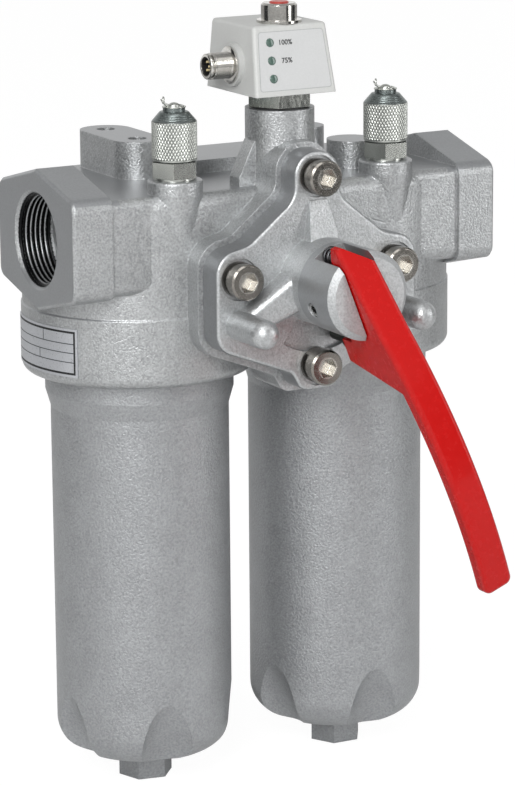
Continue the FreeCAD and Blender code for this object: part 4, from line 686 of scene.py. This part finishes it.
class FILTER_OT_indicator(bpy.types.Operator):
    """Dress the clogging indicator and add its connector, front panel and figures"""
    bl_idname = "filter.indicator"
    bl_label = "Clogging indicator"
    bl_options = {"REGISTER", "UNDO"}

    # The front face: heights of its foot and top, how far forward they stand, its half widths
    # there and how far it leans
    foot, top = 61.8, 92.4
    front_low, front_top = BOWL_Y - 57.0, BOWL_Y - 50.5
    half_low, half_top = 20.4, 18.4
    lean = math.atan2(front_top - front_low, top - foot)
    # Heights of the lights, and how far they and the figures stand from the middle
    light_heights = (69.4, 77.2, 85.0)
    lights_across, figures_across = -10.8, -3.2
    # Places along the connector's axis, from the part's middle: its mouth, the floor of its
    # well, the face of its contact carrier, its flange and its far end
    mouth, well, carrier_face, flange, end = -34.0, -26.0, -27.6, -22.9, -15.5
    connector_axis = (MIDDLE_X, BOWL_Y - 35.6, 74.2)

    def execute(self, context):
        sizes = context.scene.filter_sizes
        housing, lens, zinc = tones(context, "housing", "lens", "zinc")
        # Moulded polyamide: warm light grey, satin, with a fine spark eroded grain
        shell = finish("moulded_polyamide", housing, toned(housing, 0.93), 18, 0.9, 0.012, 0.42,
                       spread=0.04, edge=0.5, ior=1.53)
        dress(shell, "indicator_housing")
        # Nickel plated brass, turned and polished: mirror bright
        nickel = finish("nickel_plated_brass", "d9d7d2", "b5b3ae", 5, 0.8, 0.004, 0.14,
                        spread=0.04, metallic=1.0, edge=0.25)
        dress(nickel, "indicator_top_cap")
        # Moulded acetal: dull red with a soft gloss
        button = finish("moulded_acetal", "b8473f", "97342d", 4, 0.7, 0.006, 0.35, ior=1.5)
        dress(button, "indicator_button")
        # Zinc plated hexagon: each face shows its own streaks and tone
        hexagon = finish("zinc_plated_hexagon", toned(zinc, 0.95), toned(zinc, 0.82), 4, 0.9, 0.001, 0.24,
                         metallic=1.0, edge=0.3, stretch=(1, 1, 0.3))
        dress(hexagon, "indicator_adapter")
        # Moulded black nylon round the connector's contacts: dull, with gilt pins in front
        carrier, lining = (finish(name, "1d1d1d", "101010", 3, 0.6, 0.006, 0.5, ior=1.55)
                           for name in ("moulded_nylon_gilt_pins", "moulded_nylon"))
        self.gild_pins(carrier)
        dress(carrier, "indicator_plug_pins")
        self.add_connector(sizes, nickel, lining)
        self.add_lenses(lens)
        self.add_panel(sizes)
        return {"FINISHED"}

    def gild_pins(self, material):
        """In front of the carrier's face only the pins are left, and there they are gilt."""
        tree = material.node_tree
        across = add(tree, "SeparateXYZ", {0: add(tree, "TexCoord")["Object"]})[0]
        face = (MIDDLE_X + self.carrier_face) / 1000
        tint(material, add(tree, "Math", {0: across, 1: face}, operation="LESS_THAN")[0],
             linear("d8c79a"))

    def add_connector(self, sizes, nickel, black):
        """A round connector on its own axis along X: a turned profile with a flange, a groove
        behind the mouth and a thread whose root waves with the length and the angle. A black
        sleeve, a turned rectangle, lines its well."""
        pitch, depth = sizes.plug_pitch * 1000, sizes.plug_depth * 1000
        mouth, well, flange, axis = self.mouth, self.well, self.flange, (1, 0, 0)
        low, high = mouth + 2.2, flange - 0.3

        def thread(angle, height):
            return depth * faded(height, low, high, pitch) * wave(height / pitch - angle / (2 * np.pi))

        profile = np.vstack([
            [(4.3, well), (4.3, mouth), (5.3, mouth), (5.7, mouth + 0.35), (5.7, mouth + 1.0),
             (5.1, mouth + 1.1), (5.1, mouth + 1.7), (5.95, mouth + 2.0)],
            rows((5.98, low), (5.98, high), step=0.1),
            [(8.0, flange), (8.3, flange + 0.2), (8.3, flange + 0.75), (5.9, flange + 0.8), (5.9, self.end)]])
        grid = turned(profile, self.connector_axis, axis, 64, relief=thread)
        piece("indicator_connector", [skin_of(grid)], nickel, "nickel_brass",
              replaced=("indicator_plug",), sharp=50)
        sleeve = turned([(4.27, well + 0.1), (4.27, mouth + 0.35), (3.95, mouth + 0.35), (3.95, well + 0.1)],
                        self.connector_axis, axis, 48)
        piece("indicator_connector_lining", [skin_of(sleeve, loop=True)], black, "insulator")

    def on_front(self, across, height, lift):
        """Points on the leaning front face: across is measured from the middle, height up the
        frame, and lift stands off the face."""
        share = (height - self.foot) / (self.top - self.foot)
        back = self.front_low + share * (self.front_top - self.front_low)
        return np.stack([MIDDLE_X + across, back - lift * math.cos(self.lean),
                         height + lift * math.sin(self.lean)], axis=-1)

    def panel_outline(self, margin, corner):
        """The front face's outline moved in by the margin, with round corners: each corner's
        quarter circle is laid on the face's own width at its height."""
        bottom, top = self.foot + margin, self.top - margin - 0.4
        angle = np.radians(np.linspace(0, 90, 7))
        out = []
        for start, right, upper in ((0, 1, 1), (90, -1, 1), (180, -1, 0), (270, 1, 0)):
            turn = angle + math.radians(start)
            height = (top - corner if upper else bottom + corner) + corner * np.sin(turn)
            share = (height - self.foot) / (self.top - self.foot)
            half = self.half_low + share * (self.half_top - self.half_low) - margin - corner
            out.append(np.stack([right * half + corner * np.cos(turn), height], axis=-1))
        return np.vstack(out)

    def add_lenses(self, lens):
        """Three shallow domes, each a profile turned round the face's own normal."""
        # Smoked light guides of moulded acrylic: grey green and glossy
        glass = finish("moulded_acrylic", lens, toned(lens, 0.6), 2.5, 0.8, 0.005, 0.16, spread=0.03,
                       coat=0.6, ior=1.49)
        out = (0, -math.cos(self.lean), math.sin(self.lean))
        bow = np.radians(np.linspace(0, 80, 6))
        dome = np.stack([1.95 * np.cos(bow), 0.12 + 0.45 * np.sin(bow)], axis=-1)
        profile = np.vstack([[(1.95, -0.6)], dome])
        domes = [skin_of(turned(profile, self.on_front(self.lights_across, height, 0), out, 32))
                 for height in self.light_heights]
        piece("indicator_lens", domes, glass, "light_lens", replaced=("indicator_lights",), sharp=60)

    def add_panel(self, sizes):
        """A film on the front with a fine edge line, and figures beside two of the lights. The
        film lies between two outlines, and the line between four."""
        # Polyester film: a touch cooler and smoother than the housing under it
        film = finish("polyester_film", "b9baba", "b4b5b5", 15, 0.8, 0.003, 0.35, spread=0.03, ior=1.58)
        # The film's cut edge, which gathers shade: a soft grey line
        edge = finish("polyester_film_edge", "979a9a", "8c8f8f", 10, 0.8, 0.003, 0.4, ior=1.58)
        # Screen printed ink: near black and dull
        ink = finish("screen_printed_ink", "2c2e2e", "1c1e1e", 3, 0.7, 0.002, 0.5, ior=1.5)
        outer = self.panel_outline(2.3, 1.4)
        inner = self.panel_outline(2.55, 1.2)
        levels = [self.on_front(outer[:, 0], outer[:, 1], lift) for lift in (-0.05, 0.04)]
        piece("indicator_film", [skin_of(np.stack(levels))], film, "housing_plastic")
        line = np.stack([self.on_front(outline[:, 0], outline[:, 1], lift) for outline, lift in (
            (outer, 0.03), (outer, 0.07), (inner, 0.07), (inner, 0.03))], axis=1)
        piece("indicator_film_edge", [skin_of(line, loop=True)], edge, "housing_plastic")
        for words, height in (("75%", self.light_heights[1]), ("100%", self.light_heights[2])):
            self.add_figures(words, height - 0.3, sizes.figure_high, ink)

    def add_figures(self, words, height, high, ink):
        """Plain figures as a mesh, laid on the front face beside a light."""
        curve = bpy.data.curves.new("figures", "FONT")
        curve.body = words
        curve.size = high / 0.72
        curve.extrude = 0.00003
        curve.offset = 0.00006
        curve.resolution_u = 3
        curve.align_x = "CENTER"
        curve.align_y = "CENTER"
        holder = bpy.data.objects.new("figures", curve)
        mesh = bpy.data.meshes.new_from_object(holder)
        bpy.data.objects.remove(holder)
        place = self.on_front(self.figures_across, height, 0.08) / 1000
        mesh.transform(Matrix.Translation(place) @ Matrix.Rotation(math.pi / 2 - self.lean, 4, "X"))
        mesh.name = "figures_" + words.strip("%")
        mesh.materials.clear()
        carry(mesh, ink, "insulator")


class FILTER_OT_nameplate(bpy.types.Operator):
    """Dress the nameplate and print its border and bare rows"""
    bl_idname = "filter.nameplate"
    bl_label = "Nameplate"
    bl_options = {"REGISTER", "UNDO"}

    # The plate on the left housing: its radius, the degrees and heights it spans, and how far
    # its border stands in
    radius = 53.5
    arc = (157.0, 213.0)
    heights = (-60.4, -38.5)
    margin = 1.1
    # Lines between the rows, as shares of the way down the frame. Two short upright lines part
    # a row at a share of its width
    row_shares = (0.27, 0.5, 0.74)
    upper_split, lower_split = 0.62, 0.56

    def execute(self, context):
        sizes = context.scene.filter_sizes
        foil_tone, = tones(context, "foil")
        # Anodised aluminium foil: silver, satin, a little cloudy
        foil = finish("anodised_foil", foil_tone, toned(foil_tone, 0.85), 8, 0.7, 0.004, 0.33, metallic=0.6)
        dress(foil, "nameplate")
        # Printed inks: a near black border and dark grey rows, both dull
        ink = finish("printed_black_ink", "141617", "0c0d0e", 3, 0.7, 0.002, 0.5, ior=1.5)
        grey = finish("printed_grey_ink", "4a4e50", "3c4042", 3, 0.7, 0.002, 0.5, ior=1.5)
        border, line = sizes.border_wide * 1000, sizes.line_wide * 1000
        outer = self.edges(self.margin)
        start, end, low, high = self.edges(self.margin + border)
        frame_strips = ((outer[0], outer[1], outer[2], low), (outer[0], outer[1], high, outer[3]),
                        (outer[0], start, low, high), (end, outer[1], low, high))
        rows_at = [high - share * (high - low) for share in self.row_shares]
        row_strips = [(start, end, height - line / 2, height + line / 2) for height in rows_at]
        for share, bottom, top in ((self.upper_split, rows_at[0], high),
                                   (self.lower_split, rows_at[2], rows_at[1])):
            middle = start + share * (end - start)
            row_strips.append((middle - self.bow(line) / 2, middle + self.bow(line) / 2, bottom, top))
        for name, strips, material in (("nameplate_border", frame_strips, ink),
                                       ("nameplate_rows", row_strips, grey)):
            piece(name, [skin_of(self.strip(*strip)) for strip in strips], material, "nameplate_foil")
        return {"FINISHED"}

    def bow(self, width):
        """Degrees round the housing that a width in mm takes."""
        return math.degrees(width / self.radius)

    def edges(self, inset):
        """Left, right, low and high edge of the plate's outline moved in by the inset."""
        return (self.arc[0] + self.bow(inset), self.arc[1] - self.bow(inset),
                self.heights[0] + inset, self.heights[1] - inset)

    def strip(self, start, end, low, high):
        """A printed strip, a thin plate bent round the left housing."""
        return bent_plate((start, end), (low, high), (self.radius - 0.02, self.radius + 0.03), LEFT_BOWL_X)


class FILTER_OT_elements(bpy.types.Operator):
    """Dress the filter elements inside the bowls"""
    bl_idname = "filter.elements"
    bl_label = "Filter elements"
    bl_options = {"REGISTER", "UNDO"}

    def execute(self, context):
        # Pleated glass fibre: cream, matt and fibrous along the pleats
        medium = finish("glass_fibre_pleats", "dedac9", "c9c3ae", 6, 0.8, 0.05, 0.8,
                        stretch=(1, 1, 0.2), ior=1.5)
        dress(medium, "element_medium_left", "element_medium_right")
        # Tinned sheet: pale, soft gloss with a light spangle
        sheet = finish("tinned_sheet", "bdbfc0", "97999a", 6, 0.9, 0.01, 0.3, metallic=1.0)
        dress(sheet, *[kind + side for kind in ("element_core_", "element_cap_low_", "element_cap_top_")
                       for side in ("left", "right")])
        return {"FINISHED"}


class FILTER_OT_stage(bpy.types.Operator):
    """Set up the floor, the light and the camera"""
    bl_idname = "filter.stage"
    bl_label = "Stage"
    bl_options = {"REGISTER", "UNDO"}

    # The photograph's view: turn, tilt and roll in degrees, distance and aim in mm, the focal
    # length and the picture's height in pixels, and the sensor's mm along that height
    view = (28.535, 13.367, -0.434)
    distance, aim_side, aim_up = 1534.278, 8.834, -82.313
    focal_pixels, image_high, sensor = 3347.578, 786, 36.0
    # The floor: half its width in m, the share that the camera sees as plain white, how bright
    # that is, and the paper's own tone
    floor_half = 4.0
    floor_white, floor_strength, paper_tone = 0.88, 1.08, (0.9, 0.9, 0.9, 1)
    # The world dims from the first height of its sphere to the second, by the strengths that
    # soft light and mirrored light meet
    sky_span = (0.1, 0.8)
    soft_sky, mirrored_sky = (0.56, 0.28), (1.0, 0.45)
    # Lamps: watts, width and height in m, tilt and turn in degrees, and distance in m from a
    # point in the middle of the part, at lamp_aim in height
    lamps = {"key": (31.0, 0.8, 1.0, 60, -40, 2.1), "fill": (8.0, 0.4, 1.4, 75, 42, 1.9),
             "top": (4.0, 1.2, 0.5, 25, -20, 1.6)}
    lamp_aim = -0.08
    # Cards: turn in degrees, width and distance in m, between two heights in m
    cards = {"card_left": (-119, 0.68, 1.1), "card_right": (75, 0.62, 1.1), "card_near": (27, 0.4, 1.25)}
    card_low, card_high = -0.26, 0.9

    def execute(self, context):
        self.add_floor()
        self.add_world()
        self.add_lamps()
        self.add_cards()
        self.add_camera()
        return {"FINISHED"}

    def add_sheet(self, name, corners, material):
        """A flat sheet with four corners that belongs to the stage."""
        mesh = bpy.data.meshes.new(name)
        mesh.from_pydata(corners, [], [(0, 1, 2, 3)])
        mesh.materials.append(material)
        made = place_in_scene(name, mesh)
        return made

    def aimed(self, height, turn, tilt, away):
        """Where a lamp or camera stands that looks at the part's middle at a height in m. It is
        tilted up from looking down, turned about the upright, and moved aside, up and back by
        three lengths in m along its own axes."""
        middle = Matrix.Translation((MIDDLE_X / 1000, BOWL_Y / 1000, height))
        turned_by = Matrix.Rotation(math.radians(turn), 4, "Z") @ Matrix.Rotation(math.radians(tilt), 4, "X")
        return middle @ turned_by @ Matrix.Translation(away)

    def add_floor(self):
        """A pale floor just under the bowls. The camera sees it mostly as white, and the rest
        of its light comes from the lamps, so that the shadow stays."""
        # White paper: matt, and so bright to the camera that it meets the background
        material = bpy.data.materials.new("white_paper")
        material.use_nodes = True
        tree = material.node_tree
        tree.nodes.clear()
        ray = add(tree, "LightPath")["Is Camera Ray"]
        share = add(tree, "Math", {0: ray, 1: self.floor_white}, operation="MULTIPLY")[0]
        paper = add(tree, "BsdfDiffuse", {"Color": self.paper_tone})[0]
        white = add(tree, "Emission", {"Color": (1, 1, 1, 1), "Strength": self.floor_strength})[0]
        both = add(tree, "MixShader", {0: share, 1: paper, 2: white})[0]
        add(tree, "OutputMaterial", {"Surface": both})
        low, half = CAD_BOX[0][2] - FLOOR_GAP / 1000, self.floor_half
        self.add_sheet("floor", [(-half, -half, low), (half, -half, low), (half, half, low),
                                 (-half, half, low)], material)

    def add_world(self):
        """A world that is white for the camera. For the rest it dims with the height, and what
        mirrors it meets more light than what scatters it."""
        world = bpy.data.worlds.new("studio")
        bpy.context.scene.world = world
        world.use_nodes = True
        tree = world.node_tree
        ray = add(tree, "LightPath")
        mirrored = add(tree, "Math", {0: ray["Is Glossy Ray"], 1: ray["Is Transmission Ray"]},
                       operation="MAXIMUM")[0]
        height = add(tree, "SeparateXYZ", {0: add(tree, "TexCoord")["Generated"]})[2]
        sky, bright = (add(tree, "MapRange", {
            "Value": height, "From Min": self.sky_span[0], "From Max": self.sky_span[1],
            "To Min": low, "To Max": high})[0] for low, high in (self.soft_sky, self.mirrored_sky))
        unseen = add(tree, "Mix", {0: mirrored, 2: sky, 3: bright}, data_type="FLOAT")[0]
        strength = add(tree, "Mix", {0: ray["Is Camera Ray"], 2: unseen, 3: 1.0}, data_type="FLOAT")[0]
        background = tree.nodes["Background"]
        background.inputs["Color"].default_value = (1, 1, 1, 1)
        tree.links.new(strength, background.inputs["Strength"])

    def add_lamps(self):
        """A wide soft key from the upper left, a fill from the right and a weak lamp above."""
        for name, (energy, wide, high, tilt, turn, away) in self.lamps.items():
            lamp = bpy.data.lights.new(name, "AREA")
            lamp.energy = energy
            lamp.shape = "RECTANGLE"
            lamp.size = wide
            lamp.size_y = high
            holder = place_in_scene(name, lamp)
            holder.matrix_world = self.aimed(self.lamp_aim, turn, tilt, (0, 0, away))
            holder.visible_camera = False

    def add_cards(self):
        """Dark cards that only reflections see, as photographers stand them beside bright metal
        to give it an edge."""
        # Black card: matt
        material = bpy.data.materials.new("black_card")
        material.use_nodes = True
        shader = material.node_tree.nodes["Principled BSDF"]
        shader.inputs["Base Color"].default_value = (*linear("2a2c2e"), 1)
        shader.inputs["Roughness"].default_value = 0.9
        for name, (turn, wide, away) in self.cards.items():
            angle = math.radians(turn - 90)
            middle = np.array([MIDDLE_X / 1000 + away * math.cos(angle), away * math.sin(angle)])
            side = np.array([-math.sin(angle), math.cos(angle)]) * wide / 2
            left, right = middle - side, middle + side
            card = self.add_sheet(name, [(*left, self.card_low), (*right, self.card_low),
                                         (*right, self.card_high), (*left, self.card_high)], material)
            card.visible_camera = False
            card.visible_diffuse = False
            card.visible_shadow = False

    def add_camera(self):
        """The camera at the photograph's angle: aimed, then rolled about the way it looks."""
        turn, tilt, roll = self.view
        camera = bpy.data.cameras.new("camera")
        camera.sensor_width = self.sensor
        camera.lens = self.focal_pixels * self.sensor / self.image_high
        holder = place_in_scene("camera", camera)
        away = np.array([self.aim_side, self.aim_up, self.distance]) / 1000
        holder.matrix_world = (self.aimed(0, -turn, 90 - tilt, away)
                               @ Matrix.Rotation(math.radians(roll), 4, "Z"))
        bpy.context.scene.camera = holder
        bpy.context.scene.view_settings.view_transform = "Standard"


STEPS = (FILTER_OT_castings, FILTER_OT_valve, FILTER_OT_seals, FILTER_OT_test_points,
         FILTER_OT_port_threads, FILTER_OT_indicator, FILTER_OT_nameplate, FILTER_OT_elements,
         FILTER_OT_stage)


class FILTER_PT_panel(bpy.types.Panel):
    """Lists the steps with their sizes and colours"""
    bl_idname = "FILTER_PT_panel"
    bl_label = "Changeover filter"
    bl_space_type = "VIEW_3D"
    bl_region_type = "UI"
    bl_category = "Filter"

    def draw(self, context):
        for group in (context.scene.filter_sizes, context.scene.filter_colours):
            for key in group.__annotations__:
                self.layout.prop(group, key)
        for step in STEPS:
            self.layout.operator(step.bl_idname)


CLASSES = (FilterSizes, FilterColours, *STEPS, FILTER_PT_panel)


def register():
    """Registers the classes and hangs the settings on the scene."""
    for made in CLASSES:
        bpy.utils.register_class(made)
    bpy.types.Scene.filter_sizes = bpy.props.PointerProperty(type=FilterSizes)
    bpy.types.Scene.filter_colours = bpy.props.PointerProperty(type=FilterColours)


def unregister():
    """Takes the settings and the classes away again."""
    del bpy.types.Scene.filter_sizes
    del bpy.types.Scene.filter_colours
    for made in reversed(CLASSES):
        bpy.utils.unregister_class(made)


def main():
    """Runs the steps in order."""
    register()
    bpy.ops.filter.castings()
    bpy.ops.filter.valve()
    bpy.ops.filter.seals()
    bpy.ops.filter.test_points()
    bpy.ops.filter.port_threads()
    bpy.ops.filter.indicator()
    bpy.ops.filter.nameplate()
    bpy.ops.filter.elements()
    bpy.ops.filter.stage()


if __name__ == "__main__":
    main()
